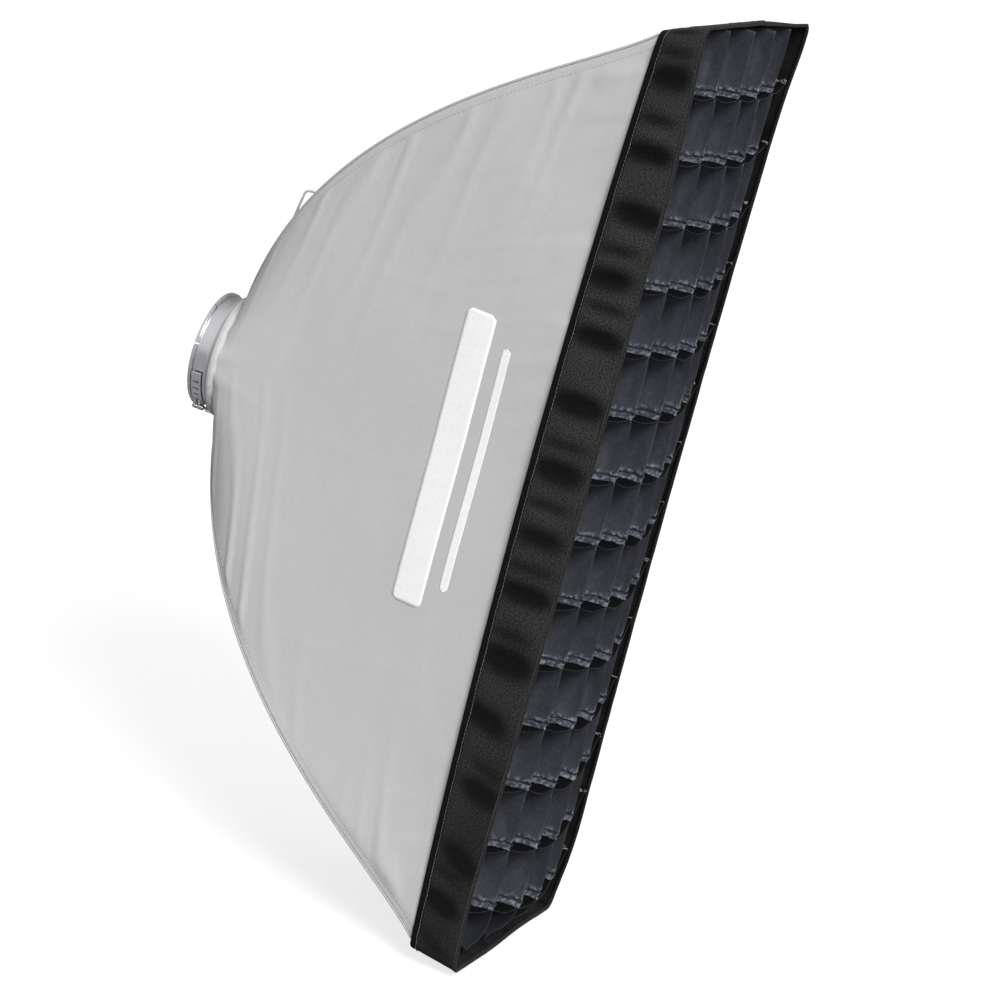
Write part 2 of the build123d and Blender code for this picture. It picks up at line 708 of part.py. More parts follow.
def build():
    os.makedirs("parts", exist_ok=True)
    write("mount_ring", mount_ring())
    write("friction_ring", friction_ring())
    write("retaining_clip", retaining_clip())
    write("clamp_band", turned(clamp_band()))
    write("latch_bracket", latch_bracket())
    write("latch_keeper", latch_keeper())
    write("lever_pin", lever_pin())
    write("latch_lever", latch_lever())
    write("link_pin", link_pin())
    write("latch_link", latch_link())
    write("hub_ring", hub_ring())
    write("rod_sockets", rod_sockets())
    write("socket_screws", socket_screws())
    write("rod_upper_left", rod((-1, 1)))
    write("rod_upper_right", rod((1, 1)))
    write("rod_lower_left", rod((-1, -1)))
    write("rod_lower_right", rod((1, -1)))
    write("rod_tips", rod_tips())
    write("corner_pockets", corner_pockets())
    write("rod_sleeves", rod_sleeves())
    write("neck_collar", neck_collar())
    write("panel_left", panel("left"))
    write("panel_right", panel("right"))
    write("panel_top", top_panel())
    write("panel_bottom", panel("bottom"))
    write("access_flap", access_flap())
    write("lining_left", lining("left"))
    write("lining_right", lining("right"))
    write("lining_top", top_lining())
    write("lining_bottom", lining("bottom"))
    write("front_hem", front_hem())
    write("hem_loop_tape", hem_loop_tape())
    write("inner_baffle", inner_baffle())
    write("baffle_straps", baffle_straps())
    write("baffle_snaps", baffle_snaps())
    write("front_diffuser", front_diffuser())
    write("diffuser_border", diffuser_border())
    write("diffuser_pull_tab", diffuser_pull_tab())
    write("grid_skirt", grid_skirt())
    write("skirt_rear_binding", skirt_rear_binding())
    write("skirt_front_binding", skirt_front_binding())
    write("grid_hook_tape", grid_hook_tape())
    write("grid_long_strips", grid_long_strips())
    write("grid_cross_strips", grid_cross_strips())


build()
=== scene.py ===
import math

import bpy
from mathutils import Matrix, Vector, noise


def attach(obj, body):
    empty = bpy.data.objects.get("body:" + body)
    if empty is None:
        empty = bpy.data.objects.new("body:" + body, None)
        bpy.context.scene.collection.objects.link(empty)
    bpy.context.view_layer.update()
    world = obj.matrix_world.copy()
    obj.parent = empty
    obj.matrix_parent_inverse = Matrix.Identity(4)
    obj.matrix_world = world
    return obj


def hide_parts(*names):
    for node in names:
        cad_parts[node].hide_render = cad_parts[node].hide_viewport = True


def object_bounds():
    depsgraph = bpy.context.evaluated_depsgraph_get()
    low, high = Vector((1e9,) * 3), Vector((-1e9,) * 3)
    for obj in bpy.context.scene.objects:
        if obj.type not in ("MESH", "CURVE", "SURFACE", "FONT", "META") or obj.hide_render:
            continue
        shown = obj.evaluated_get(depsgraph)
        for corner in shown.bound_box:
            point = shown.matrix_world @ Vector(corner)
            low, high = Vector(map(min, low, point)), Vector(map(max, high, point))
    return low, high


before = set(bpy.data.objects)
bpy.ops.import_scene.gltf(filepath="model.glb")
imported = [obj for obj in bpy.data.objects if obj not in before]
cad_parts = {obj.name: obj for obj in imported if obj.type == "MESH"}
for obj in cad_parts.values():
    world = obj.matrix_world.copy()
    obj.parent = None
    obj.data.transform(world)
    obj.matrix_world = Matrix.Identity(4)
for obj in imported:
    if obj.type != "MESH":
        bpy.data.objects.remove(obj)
cad_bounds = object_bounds()

# Everything below is in millimetres in the CAD's frame, where the box opens towards -Y and Z is up.
MM = 0.001  # metres
UP = Vector((0, 0, 1))
REAR = Vector((0, 1, 0))

# The rods' centre curve, as in the CAD: (depth in front of the ring's rear face, distance from the axis).
ROD_CONTROLS = [(32.0, 58.0), (84.6, 299.9), (332.2, 400.9), (403.0, 462.4)]
CORNER_HALF_WIDTH = 143.6
CORNER_HALF_HEIGHT = 439.5
DIAGONAL = math.atan2(CORNER_HALF_WIDTH, CORNER_HALF_HEIGHT)
CORNER_NAMES = {(-1, 1): "upper_left", (1, 1): "upper_right", (-1, -1): "lower_left", (1, -1): "lower_right"}


# ------------------------------------------------------------------ small helpers


def smooth(value):
    """0 below 0, 1 above 1, smooth between."""
    value = max(0.0, min(1.0, value))
    return value * value * (3 - 2 * value)


def bell(off, width):
    """1 where off is 0, falling away to both sides."""
    return math.exp(-((off / width) ** 2))


def arch(fraction):
    """0 at both ends of a span, 1 in its middle."""
    return max(0.0, math.sin(math.pi * fraction))


def wobble(x, y, z, seed=0.0):
    """Smooth noise between about -1 and 1."""
    return noise.noise(Vector((x + 17.3 * seed, y - 9.1 * seed, z + 4.7 * seed)))


def ridge(x, y, z, seed):
    """Noise with sharp creases, between 0 and 1."""
    return 1 - min(1.0, 2.2 * abs(wobble(x, y, z, seed)))


def random_at(*numbers):
    """A repeatable number between 0 and 1 for a set of numbers."""
    value = math.sin(sum(n * k for n, k in zip(numbers, (12.9898, 78.233, 37.719, 93.989)))) * 43758.5453
    return value - math.floor(value)


def steps(count, first=0.0, last=1.0):
    """count + 1 even steps from first to last."""
    return [first + (last - first) * i / count for i in range(count + 1)]


def lengths(points, closed=False):
    """How far along a path each of its points lies."""
    total = [0.0]
    for a, b in zip(points, points[1:] + (points[:1] if closed else [])):
        total.append(total[-1] + (b - a).length)
    return total


class Sheet:
    """Collects rows of points into one mesh, with UVs in metres along the cloth."""

    def __init__(self, rows=None, closed=False, skip=None):
        self.vertices = []
        self.faces = []
        self.uvs = []
        if rows:
            self.add(rows, closed, skip)

    def add(self, rows, closed=False, skip=None, uv_offset=(0.0, 0.0)):
        start = len(self.vertices)
        count = len(rows[0])
        for row in rows:
            self.vertices += row
        across = [length * MM + uv_offset[0] for length in lengths(rows[len(rows) // 2], closed)]
        along = [length * MM + uv_offset[1] for length in lengths([row[count // 2] for row in rows])]
        for i in range(len(rows) - 1):
            for j in range(len(across) - 1):
                if skip and skip(i, j):
                    continue
                a, b = start + i * count + j, start + i * count + (j + 1) % count
                self.faces.append((a, b, b + count, a + count))
                u, v = across[j:j + 2], along[i:i + 2]
                self.uvs += [(u[0], v[0]), (u[1], v[0]), (u[1], v[1]), (u[0], v[1])]

    def finish(self, name, material, body, thickness=0.0, offset=0.0, replaces=None, slot=None, painted_light=None):
        """Makes the piece. Offset 1 thickens the cloth to its front, -1 to its back and 0 both ways.

        painted_light is read by the cloth's material at each point: 0 where it paints shade into the valleys,
        1 where it paints a highlight on the ridges.
        """
        mesh = bpy.data.meshes.new(name)
        mesh.from_pydata([(x * MM, y * MM, z * MM) for x, y, z in self.vertices], [], self.faces)
        mesh.uv_layers.new(name="UVMap").data.foreach_set("uv", [c for uv in self.uvs for c in uv])
        mesh.polygons.foreach_set("use_smooth", [True] * len(self.faces))
        mesh.materials.append(material)
        # Painted light: each point's share of painted shade and painted highlight, for the material to read.
        if painted_light:
            mesh.attributes.new("painted_light", "FLOAT", "POINT").data.foreach_set("value", painted_light)
        mesh.update()
        obj = bpy.data.objects.new(name, mesh)
        bpy.context.scene.collection.objects.link(obj)
        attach(obj, body)
        if replaces:
            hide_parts(replaces)
        if thickness:
            solid = obj.modifiers.new("cloth", "SOLIDIFY")
            solid.thickness = thickness * MM
            solid.offset = offset
            solid.use_rim = True
            solid.use_even_offset = False


def tube_rows(path, radius, sides, flatten, up):
    """Rings of points around a path. flatten squeezes each ring along up, which may change along the path."""
    rows = []
    angles = [2 * math.pi * k / sides for k in range(sides)]
    for i, here in enumerate(path):
        tangent = (path[min(i + 1, len(path) - 1)] - path[max(i - 1, 0)]).normalized()
        normal = up[i] if isinstance(up, list) else up
        normal = (normal - tangent * normal.dot(tangent)).normalized()
        side = tangent.cross(normal)
        r = radius[i] if isinstance(radius, list) else radius
        rows.append([here + side * (r * math.cos(a)) + normal * (r * flatten * math.sin(a)) for a in angles])
    return rows


# A stitch's section at places along it: (place, lift, width), as shares of its length, height and width.
STITCH_PROFILE = [(-0.5, 0.0, 0.35), (-0.36, 0.8, 0.9), (0.0, 1.0, 1.0), (0.36, 0.8, 0.9), (0.5, 0.0, 0.35)]
STITCH_UVS = [(0, 0), (0.001, 0), (0.001, 0.001), (0, 0.001)]
STITCH_SINK = 0.15


def stitch_run(sheet, points, normals, stitch, gap, width, height, wander=0.0):
    """Adds a row of short stitches that stand up from the cloth, along a path of points. wander strews them
    sideways.
    """
    along = lengths(points)
    count = int(along[-1] / (stitch + gap))
    segment = 0
    for n in range(count):
        start = len(sheet.vertices)
        for share, lift, wide in STITCH_PROFILE:
            where = (n + 0.5) * along[-1] / count + share * stitch
            while segment > 0 and along[segment] > where:
                segment -= 1
            while segment < len(points) - 2 and along[segment + 1] < where:
                segment += 1
            here, ahead, normal = points[segment], points[segment + 1], normals[segment]
            side = (ahead - here).normalized().cross(normal).normalized()
            fraction = (where - along[segment]) / max(1e-6, along[segment + 1] - along[segment])
            place = here.lerp(ahead, fraction) + side * (wander * (random_at(n, 3.1) - 0.5))
            half = side * (width / 2 * wide)
            base = place - normal * STITCH_SINK
            top = place + normal * (height * lift)
            sheet.vertices += [base - half, top - half * 0.5, top + half * 0.5, base + half]
        last = start + 4 * len(STITCH_PROFILE) - 4
        for ring in range(start, last, 4):
            for k in range(4):
                a, b = ring + k, ring + (k + 1) % 4
                sheet.faces.append((a, b, b + 4, a + 4))
                sheet.uvs += STITCH_UVS
        sheet.faces += [(start + 3, start + 2, start + 1, start), (last, last + 1, last + 2, last + 3)]
        sheet.uvs += [(0, 0)] * 8


# ------------------------------------------------------------------ materials


class Look:
    """One node material, built link by link. A value is a constant or another node's output."""

    def __init__(self, name):
        self.material = bpy.data.materials.new(name)
        self.material.use_nodes = True
        self.tree = self.material.node_tree
        self.shader = self.tree.nodes["Principled BSDF"]

    def plug(self, socket, value):
        if isinstance(value, (int, float, tuple)):
            socket.default_value = value
        else:
            self.tree.links.new(value, socket)

    def node(self, kind, **values):
        made = self.tree.nodes.new(kind)
        for key, value in values.items():
            if hasattr(made, key):
                setattr(made, key, value)
            else:
                self.plug(made.inputs[key], value)
        return made

    def math(self, operation, *values, clamp=False):
        made = self.node("ShaderNodeMath", operation=operation, use_clamp=clamp)
        for socket, value in zip(made.inputs, values):
            self.plug(socket, value)
        return made.outputs[0]

    def vary(self, value, source, amount, clamp=False):
        """The value, plus or minus half the amount as the source goes from 0 to 1."""
        off = self.math("MULTIPLY", self.math("SUBTRACT", source, 0.5), amount)
        return self.math("ADD", value, off, clamp=clamp)

    def coords(self, source="UV"):
        return self.node("ShaderNodeTexCoord").outputs[source]

    def scaled(self, vector, scale):
        return self.node("ShaderNodeMapping", Vector=vector, Scale=scale).outputs["Vector"]

    def split(self, vector):
        return list(self.node("ShaderNodeSeparateXYZ", Vector=vector).outputs)

    def noise(self, vector, scale, detail, roughness, distortion=0.0):
        made = self.node("ShaderNodeTexNoise", Vector=vector, Scale=scale, Detail=detail,
                         Roughness=roughness, Distortion=distortion)
        return made.outputs["Fac"]

    def ramp(self, value, *stops):
        made = self.node("ShaderNodeValToRGB", Fac=value)
        for element, (position, shade) in zip(made.color_ramp.elements, stops):
            element.position = position
            element.color = grey(shade) if isinstance(shade, float) else shade
        return made.outputs["Color"]

    def mix(self, factor, a, b):
        made = self.node("ShaderNodeMix", data_type="RGBA")
        for index, value in ((0, factor), (6, a), (7, b)):
            self.plug(made.inputs[index], value)
        return made.outputs[2]

    def bump(self, height, strength, distance, normal=None):
        made = self.node("ShaderNodeBump", Height=height, Strength=strength, Distance=distance)
        if normal:
            self.plug(made.inputs["Normal"], normal)
        return made.outputs["Normal"]

    def set(self, **values):
        for key, value in values.items():
            self.plug(self.shader.inputs[key.replace("_", " ")], value)
        return self.material

    def weave(self, vector, pitch):
        """Height of a plain weave with threads pitch metres apart."""
        axes = self.split(vector)[:2]
        waves = [self.math("SINE", self.math("MULTIPLY", axis, math.pi / pitch)) for axis in axes]
        across, down = (self.math("ABSOLUTE", wave) for wave in waves)
        over = self.math("ADD", self.math("MULTIPLY", self.math("MULTIPLY", *waves), 0.5), 0.5)
        under = self.math("SUBTRACT", 1.0, over)
        return self.math("ADD", self.math("MULTIPLY", across, over), self.math("MULTIPLY", down, under))


def grey(value, tint=(1.0, 1.0, 1.0)):
    return (value * tint[0], value * tint[1], value * tint[2], 1.0)


def shaded(colour, share):
    return tuple(min(1, channel * share) for channel in colour[:3]) + (1.0,)


def fabric(name, dark, light, pitch, roughness=0.8, bump=0.25, sheen=0.2, speckle=0.5, blotch=0.3,
           tint=(1, 1, 1), sheen_tint=(1, 1, 1, 1), speckle_scale=900.0, painted_light=None, speckled_highlight=False,
           slub=0.0, specular=0.35, lining=None):
    """Woven cloth: threads, thread-to-thread colour, broad unevenness and light sheen.

    painted_light is how far the painted light changes the colour, as (how far the painted shade lifts out of
    black, how far the ridges mix with the painted highlight). speckled_highlight breaks that highlight into
    specks.
    lining is the share of the colour left on the face that looks inwards, as painted shade on the inner face.
    """
    look = Look(name)
    uv = look.coords("UV")
    place = look.coords("Object")
    threads = look.weave(uv, pitch)
    grain = look.noise(uv, speckle_scale, 2.0, 0.7)
    value = look.vary(0.5, grain, speckle * 2.4)
    value = look.vary(value, look.noise(place, 14.0, 4.0, 0.6), blotch)
    value = look.vary(value, threads, 0.25, clamp=True)
    if slub:
        streaks = look.noise(look.scaled(uv, (60.0, 1400.0, 1.0)), 1.0, 4.0, 0.6)
        cross = look.noise(look.scaled(uv, (900.0, 50.0, 1.0)), 1.0, 3.0, 0.6)
        value = look.vary(look.vary(value, streaks, slub), cross, slub * 0.5, clamp=True)
    colour = look.ramp(value, (0.0, grey(dark, tint)), (1.0, grey(light, tint)))
    # Painted light from the painted_light attribute: shade painted towards black where it is low, a highlight
    # painted where it is high.
    if painted_light:
        painted_lit = look.node("ShaderNodeAttribute", attribute_name="painted_light").outputs["Fac"]
        # speckled_highlight breaks the painted highlight into small bright specks.
        if speckled_highlight:
            crinkle_and_highlight = look.math("MULTIPLY", look.noise(place, 260.0, 3.0, 0.7), 6.0)
            painted_lit = look.math("MULTIPLY", painted_lit, look.math("ADD", crinkle_and_highlight, -2.7, clamp=True), clamp=True)
        painted_shade_colour = look.mix(painted_light[0], grey(0.0), colour)
        wear_and_highlight = grey(light * (4.5 if speckled_highlight else 2.5), tint)
        colour = look.mix(painted_lit, painted_shade_colour, look.mix(painted_light[1], colour, wear_and_highlight))
    # Painted shade: the face that looks inwards keeps only the lining share of its colour.
    if lining is not None:
        # The sign of position times normal tells the outer face from the inner one.
        at, facing = look.split(place), look.split(look.coords("Normal"))
        outward = look.math("MULTIPLY", look.math("MULTIPLY", at[0], facing[0]), 3.0)
        outward = look.math("ADD", outward, look.math("MULTIPLY", at[2], facing[2]))
        outward = look.math("ADD", look.math("MULTIPLY", outward, 20.0), 0.5, clamp=True)
        colour = look.mix(outward, look.mix(lining, grey(0.0), colour), colour)
    rough = look.math("ADD", look.math("MULTIPLY", grain, 0.15), roughness - 0.07)
    normal = look.bump(threads, bump, 0.0004)
    normal = look.bump(look.noise(place, 120.0, 3.0, 0.6), 0.10, 0.002, normal)
    return look.set(Base_Color=colour, Roughness=rough, Normal=normal, Sheen_Weight=sheen,
                    Sheen_Tint=sheen_tint, Sheen_Roughness=0.45, Specular_IOR_Level=specular)


def thread(name, dark, light, sheen=0.2, speckle=0.3):
    return fabric(name, dark, light, 0.0003, roughness=0.6, bump=0.3, sheen=sheen, speckle=speckle)


def silver_coating():
    """Crinkled metallic coating on a woven lining."""
    look = Look("silver_lining")
    crinkle_and_highlight = look.noise(look.coords("Object"), 90.0, 6.0, 0.62, 0.4)
    normal = look.bump(crinkle_and_highlight, 0.35, 0.003)
    normal = look.bump(look.weave(look.coords("UV"), 0.0006), 0.12, 0.0004, normal)
    return look.set(Base_Color=look.ramp(crinkle_and_highlight, (0.3, 0.58), (0.7, 0.80)), Metallic=0.75,
                    Roughness=look.ramp(crinkle_and_highlight, (0.3, 0.38), (0.8, 0.55)), Normal=normal)


def white_print():
    """Slightly worn ink that lets the weave show."""
    look = Look("plain_print")
    wear = look.noise(look.coords("Object"), 300.0, 5.0, 0.7)
    normal = look.bump(look.weave(look.coords("UV"), 0.00045), 0.12, 0.0003)
    return look.set(Base_Color=look.ramp(wear, (0.2, 0.86), (0.6, 0.95)), Roughness=0.55, Normal=normal)


def metal(name, colour, roughness, scratch=0.12, direction=(1, 1, 1), metallic=1.0):
    """Worn metal: fine drawn lines, smudges and slightly darker dirt."""
    look = Look(name)
    place = look.coords("Object")
    lines = look.noise(look.scaled(place, direction), 900.0, 3.0, 0.7)
    smudge = look.noise(place, 60.0, 4.0, 0.6)
    rough = look.math("ADD", look.math("MULTIPLY", lines, scratch), roughness - scratch / 2)
    rough = look.vary(rough, smudge, 0.12, clamp=True)
    return look.set(Base_Color=look.mix(smudge, shaded(colour, 0.9), colour), Roughness=rough,
                    Normal=look.bump(lines, 0.06, 0.0003), Metallic=metallic)


def plastic(name, colour, roughness):
    """Moulded plastic with a fine grain and worn patches."""
    look = Look(name)
    place = look.coords("Object")
    grain = look.noise(place, 1400.0, 2.0, 0.6)
    wear_and_highlight = look.noise(place, 45.0, 4.0, 0.6)
    rough = look.math("ADD", look.math("MULTIPLY", wear_and_highlight, 0.2), roughness - 0.1)
    return look.set(Base_Color=look.mix(wear_and_highlight, shaded(colour, 0.85), shaded(colour, 1.12)), Roughness=rough,
                    Normal=look.bump(grain, 0.15, 0.0004))


COOL = (0.92, 0.98, 1.12)
SHELL = fabric("shell_cloth", 0.485, 0.58, 0.00045, roughness=0.74, bump=0.18, sheen=0.06, speckle=0.10,
               blotch=0.2, slub=0.7, specular=0.25)
SHELL_SEAM = fabric("seam_tape", 0.42, 0.52, 0.0009, bump=0.35, sheen=0.1, speckle=0.25)
SILVER = silver_coating()
DIFFUSER = fabric("diffuser_cloth", 0.78, 0.86, 0.0008, roughness=0.85, bump=0.2, sheen=0.1, speckle=0.12,
                  tint=(1, 1, 0.985))
# Painted light: shade painted almost to black in the valleys, a faint highlight painted on the ridges, and
# the inner face darkened to 0.45 as painted shade.
SKIRT = fabric("skirt_canvas", 0.000, 0.051, 0.0009, roughness=0.85, bump=0.5, sheen=0.03, speckle=1.5,
               blotch=0.1, speckle_scale=620.0, painted_light=(0.07, 0.09), specular=0.12, lining=0.45)
SKIRT_EDGE = fabric("skirt_edge_cloth", 0.004, 0.030, 0.0009, roughness=0.85, bump=0.5, sheen=0.03,
                    speckle=1.3, blotch=0.1, speckle_scale=620.0, specular=0.12)
BINDING = fabric("binding_tape", 0.001, 0.007, 0.0011, bump=0.5, sheen=0.02, speckle=0.8, blotch=0.2,
                 specular=0.1)
# Painted highlight: the hems' crumpled places mix with a shade 4.5 times the light one, broken into specks.
GRID = fabric("grid_satin", 0.024, 0.054, 0.0005, roughness=0.42, bump=0.08, sheen=0.22, speckle=0.15,
              blotch=0.6, tint=(0.90, 0.97, 1.20), sheen_tint=(0.8, 0.88, 1.0, 1), painted_light=(1.0, 1.0),
              speckled_highlight=True)
# Painted shade: a near-black copy of the satin for the cross strips, whose tops lie in shade.
GRID_SHADE = fabric("grid_satin_painted_shade", 0.001, 0.004, 0.0005, roughness=0.85, bump=0.14, sheen=0.0, speckle=0.2,
                   tint=(0.92, 0.98, 1.15), specular=0.08)
# Painted shade: a darker copy of the satin for the bottom row's walls, which lie in shade.
GRID_BOTTOM_SHADE = fabric("grid_satin_bottom_shade", 0.010, 0.026, 0.0005, roughness=0.6, bump=0.14, sheen=0.08, speckle=0.2,
                  tint=(0.9, 0.97, 1.2), specular=0.2)
STRIP_EDGE = fabric("strip_edge", 0.003, 0.007, 0.0006, roughness=0.6, bump=0.3, sheen=0.03, speckle=0.6,
                    tint=COOL)
GRID_EDGE = fabric("grid_cut_edge", 0.010, 0.022, 0.0006, roughness=0.5, bump=0.3, sheen=0.08, speckle=0.6,
                   tint=COOL)
PILE = fabric("loop_pile", 0.010, 0.040, 0.0016, roughness=0.95, bump=0.9, sheen=0.5, speckle=0.9,
              speckle_scale=480.0)
ELASTIC = fabric("elastic_web", 0.02, 0.06, 0.0014, roughness=0.75, bump=0.6, sheen=0.15, speckle=0.4)
THREAD = thread("light_thread", 0.28, 0.45)
SKIRT_THREAD = thread("skirt_thread", 0.08, 0.14)
FAINT_THREAD = thread("faint_thread", 0.03, 0.07, speckle=0.9)
SHELL_THREAD = thread("shell_thread", 0.40, 0.51)
BLACK_THREAD = thread("black_thread", 0.006, 0.014, sheen=0.1)
PRINT = white_print()
ALLOY = metal("ring_alloy", (0.66, 0.66, 0.68, 1), 0.42, metallic=0.9)
POLISHED = metal("band_steel", (0.80, 0.80, 0.83, 1), 0.24, scratch=0.10, direction=(0.05, 1, 0.05))
LATCH = metal("latch_steel", (0.72, 0.72, 0.75, 1), 0.30, direction=(1, 0.1, 1))
SPRING = metal("spring_steel", (0.40, 0.41, 0.43, 1), 0.36)
HUB = plastic("hub_moulding", (0.33, 0.33, 0.34, 1), 0.5)
BLACK_PLASTIC = plastic("tip_moulding", (0.03, 0.03, 0.032, 1), 0.45)
RUBBER = plastic("black_rubber", (0.02, 0.02, 0.02, 1), 0.8)


# ------------------------------------------------------------------ the rods' shape

# Each side of the shell: its first and last corner, and the way out.
SIDES = {
    "left": ((-1, 1), (-1, -1), Vector((-1, 0, 0))),
    "right": ((1, 1), (1, -1), Vector((1, 0, 0))),
    "top": ((-1, 1), (1, 1), Vector((0, 0, 1))),
    "bottom": ((-1, -1), (1, -1), Vector((0, 0, -1))),
}
LONG_SIDES = ("left", "right")
SEAM_GAP = 0.7
ROD_TO_CLOTH = 5.2


def rod_profile(share):
    """(depth, distance from the axis) of a rod's centre, a share of the way from the hub to the front."""
    rest = 1 - share
    weights = [rest**3, 3 * rest**2 * share, 3 * rest * share**2, share**3]
    return [sum(w * c[k] for w, c in zip(weights, ROD_CONTROLS)) for k in (0, 1)]


def rod_point(corner, share):
    depth, distance = rod_profile(share)
    x, z = distance * math.sin(DIAGONAL), distance * math.cos(DIAGONAL)
    return Vector((corner[0] * x, -depth, corner[1] * z))


def rod_tangent(corner, share):
    step = 0.0005
    return (rod_point(corner, share + step) - rod_point(corner, share - step)).normalized()


def share_where(measure, target):
    """The share at which a measure that grows along the rods reaches the target."""
    low, high = 0.0, 1.0
    for _ in range(40):
        middle = (low + high) / 2
        if measure(middle) < target:
            low = middle
        else:
            high = middle
    return low


def share_at_depth(depth):
    return share_where(lambda share: rod_profile(share)[0], depth)


def share_at_height(height):
    return share_where(lambda share: rod_profile(share)[1] * math.cos(DIAGONAL), height)


def panel_bulge(side, share):
    """How far the middle of a panel stands out past the line between its rods."""
    if side in LONG_SIDES:
        return 40.0 * max(0.0, 1 - share / 0.42) ** 2 - 7.0 * math.sin(math.pi * share) ** 2
    return 3.4 * max(0.0, 1 - share / 0.2) ** 2 - 3.0 * math.sin(math.pi * share) ** 2


def panel_edge(side, share, at_last):
    """Where a panel leaves the rod at its first or last corner."""
    first, last, outward = SIDES[side]
    corner, other = (last, first) if at_last else (first, last)
    here = rod_point(corner, share)
    leaving = rod_point(other, share) - here + outward * (4 * panel_bulge(side, share))
    tangent = rod_tangent(corner, share)
    across = (leaving - tangent * leaving.dot(tangent)).normalized()
    normal = across.cross(tangent).normalized()
    if normal.dot(outward + REAR * 0.5) < 0:
        normal = -normal
    return here + across * SEAM_GAP + normal * ROD_TO_CLOTH


def panel_point(side, share, across):
    bulge = 4 * across * (1 - across) * panel_bulge(side, share)
    return panel_edge(side, share, False).lerp(panel_edge(side, share, True), across) + SIDES[side][2] * bulge


def panel_normal(side, share, across):
    step = 0.002
    a = panel_point(side, share + step, across) - panel_point(side, share - step, across)
    b = panel_point(side, share, across + step) - panel_point(side, share, across - step)
    normal = a.cross(b).normalized()
    return normal if normal.dot(SIDES[side][2] + REAR * 0.5) > 0 else -normal


def panel_width(side, share):
    return (panel_point(side, share, 1.0) - panel_point(side, share, 0.0)).length


def panel_ripple(side, share, across):
    """Soft creases in the stretched cloth, in millimetres, zero along the seams."""
    seed = 1.0 + list(SIDES).index(side)
    long_side = side in LONG_SIDES
    near = min(across, 1 - across) * (300 + 550 * share if long_side else 60 + 220 * share)
    to_front = 1 - share
    p = panel_point(side, share, across) * MM
    ripple = 2.2 * wobble(p.x * 7, p.y * 7, p.z * 7, seed)
    ripple += 0.40 * wobble(p.x * 26, p.y * 26, p.z * 12, seed + 0.5)
    # Gathers that fan out from the neck.
    gathers = math.sin(math.atan2(p.z, p.x) * 15 + 2.0 * wobble(p.x * 9, p.y * 9, p.z * 9, seed + 1))
    ripple += 0.8 * math.exp(-share / 0.05) * gathers
    # Pulls that leave the seams at a slant, each of its own strength and reach.
    which = 0.0 if across < 0.5 else 1.0
    slant = share * 30 + near * 0.022 + 3.5 * wobble(share * 7, which * 3, seed)
    own = 0.5 + 0.5 * wobble(share * 5.0, seed, which, 4.0)
    reach = math.exp(-near / (30.0 + 90.0 * own)) * smooth(near / 16.0)
    pulls = own * reach * max(0.0, math.sin(slant * 2.0)) ** 2
    ripple += 3.6 * pulls * smooth(share / 0.08) * (1 - smooth((share - 0.85) / 0.15))
    if long_side:
        # Fold lines left from packing.
        for height in (0.155, -0.02, -0.21):
            line = bell(p.z - height - 0.010 * math.sin(p.y * 14 + seed), 0.006)
            ripple += 0.30 * line * (0.5 + 0.5 * wobble(p.y * 22, height * 9, seed))
        # Fine puckers that run in from the front hem.
        puckers = math.sin(p.z * 190 + 3.5 * wobble(p.z * 16, p.y * 6, seed, 2.0) + 95 * p.y)
        strength = 0.5 + 0.5 * wobble(p.z * 9, seed, 0, 3.0)
        upper = 0.35 + 0.65 * smooth((p.z + 0.05) / 0.3)
        ripple += 1.1 * math.exp(-to_front / 0.12) * puckers * strength * upper * smooth(to_front / 0.03)
        # Short sharp creases that climb towards the front.
        along, over = 0.42 * p.z - 0.9 * p.y, 0.9 * p.z + 0.42 * p.y
        line = abs(wobble(over * 24, along * 5, seed, 7.0) + 0.3 * wobble(over * 60, along * 12, seed, 8.0))
        crease = max(0.0, 1 - 5.0 * line) ** 2
        ripple += 1.3 * crease * math.exp(-to_front / 0.22) * upper * smooth(to_front / 0.05)
    return ripple * smooth(near / 9.0)


def on_panel(side, share, across, lift=0.0):
    """A point on the creased cloth, moved out along the normal by lift, and the panel's normal there."""
    normal = panel_normal(side, share, across)
    return panel_point(side, share, across) + normal * (panel_ripple(side, share, across) + lift), normal


# ------------------------------------------------------------------ shell

PANEL_START = 0.006
SHELL_CLOTH = 0.8
WRAP_STEPS = 3
# Where the panels' rear ends lie on the hub, and the collar's section round them: (depth, radius).
NECK_PROFILE = [(23.4, 61.2), (25.6, 61.3), (27.0, 61.7)]
COLLAR_PROFILE = [(22.6, 60.5), (22.5, 61.7), (22.9, 62.3), (23.9, 62.45), (25.0, 62.4), (25.9, 62.3),
                  (26.4, 61.9)]
# The opening in the top panel and its flap: heights up the panel, and places across it.
FLAP_LOW = 132.0
FLAP_HIGH = 180.0
FLAP_PLAY = 0.8
FLAP_SLIT_EDGE = -40.0
FLAP_FREE_EDGE = -33.0
FLAP_HINGE_EDGE = 30.0
# The cord that stands off the flap's free edge.
CORD_LOW = 133.0
CORD_HIGH = 181.5
CORD_PEAK = 0.84
CORD_STAND_OFF = 15.0
# Two plain bars on the left panel: (depth of the middle, width, low end, high end).
PRINT_BARS = [(300.0, 34.0, -143.0, 146.0), (336.0, 9.0, -118.0, 122.0)]
PRINT_CORNER = 6.0


def seam_frame(corner, share):
    """A point on a rod's centre and the way out through the middle of its seam."""
    long_side = "left" if corner[0] < 0 else "right"
    short_side = "top" if corner[1] > 0 else "bottom"
    here = rod_point(corner, share)
    long_arm = panel_edge(long_side, share, corner[1] < 0) - here
    short_arm = panel_edge(short_side, share, corner[0] > 0) - here
    return here, (long_arm.normalized() + short_arm.normalized()).normalized()


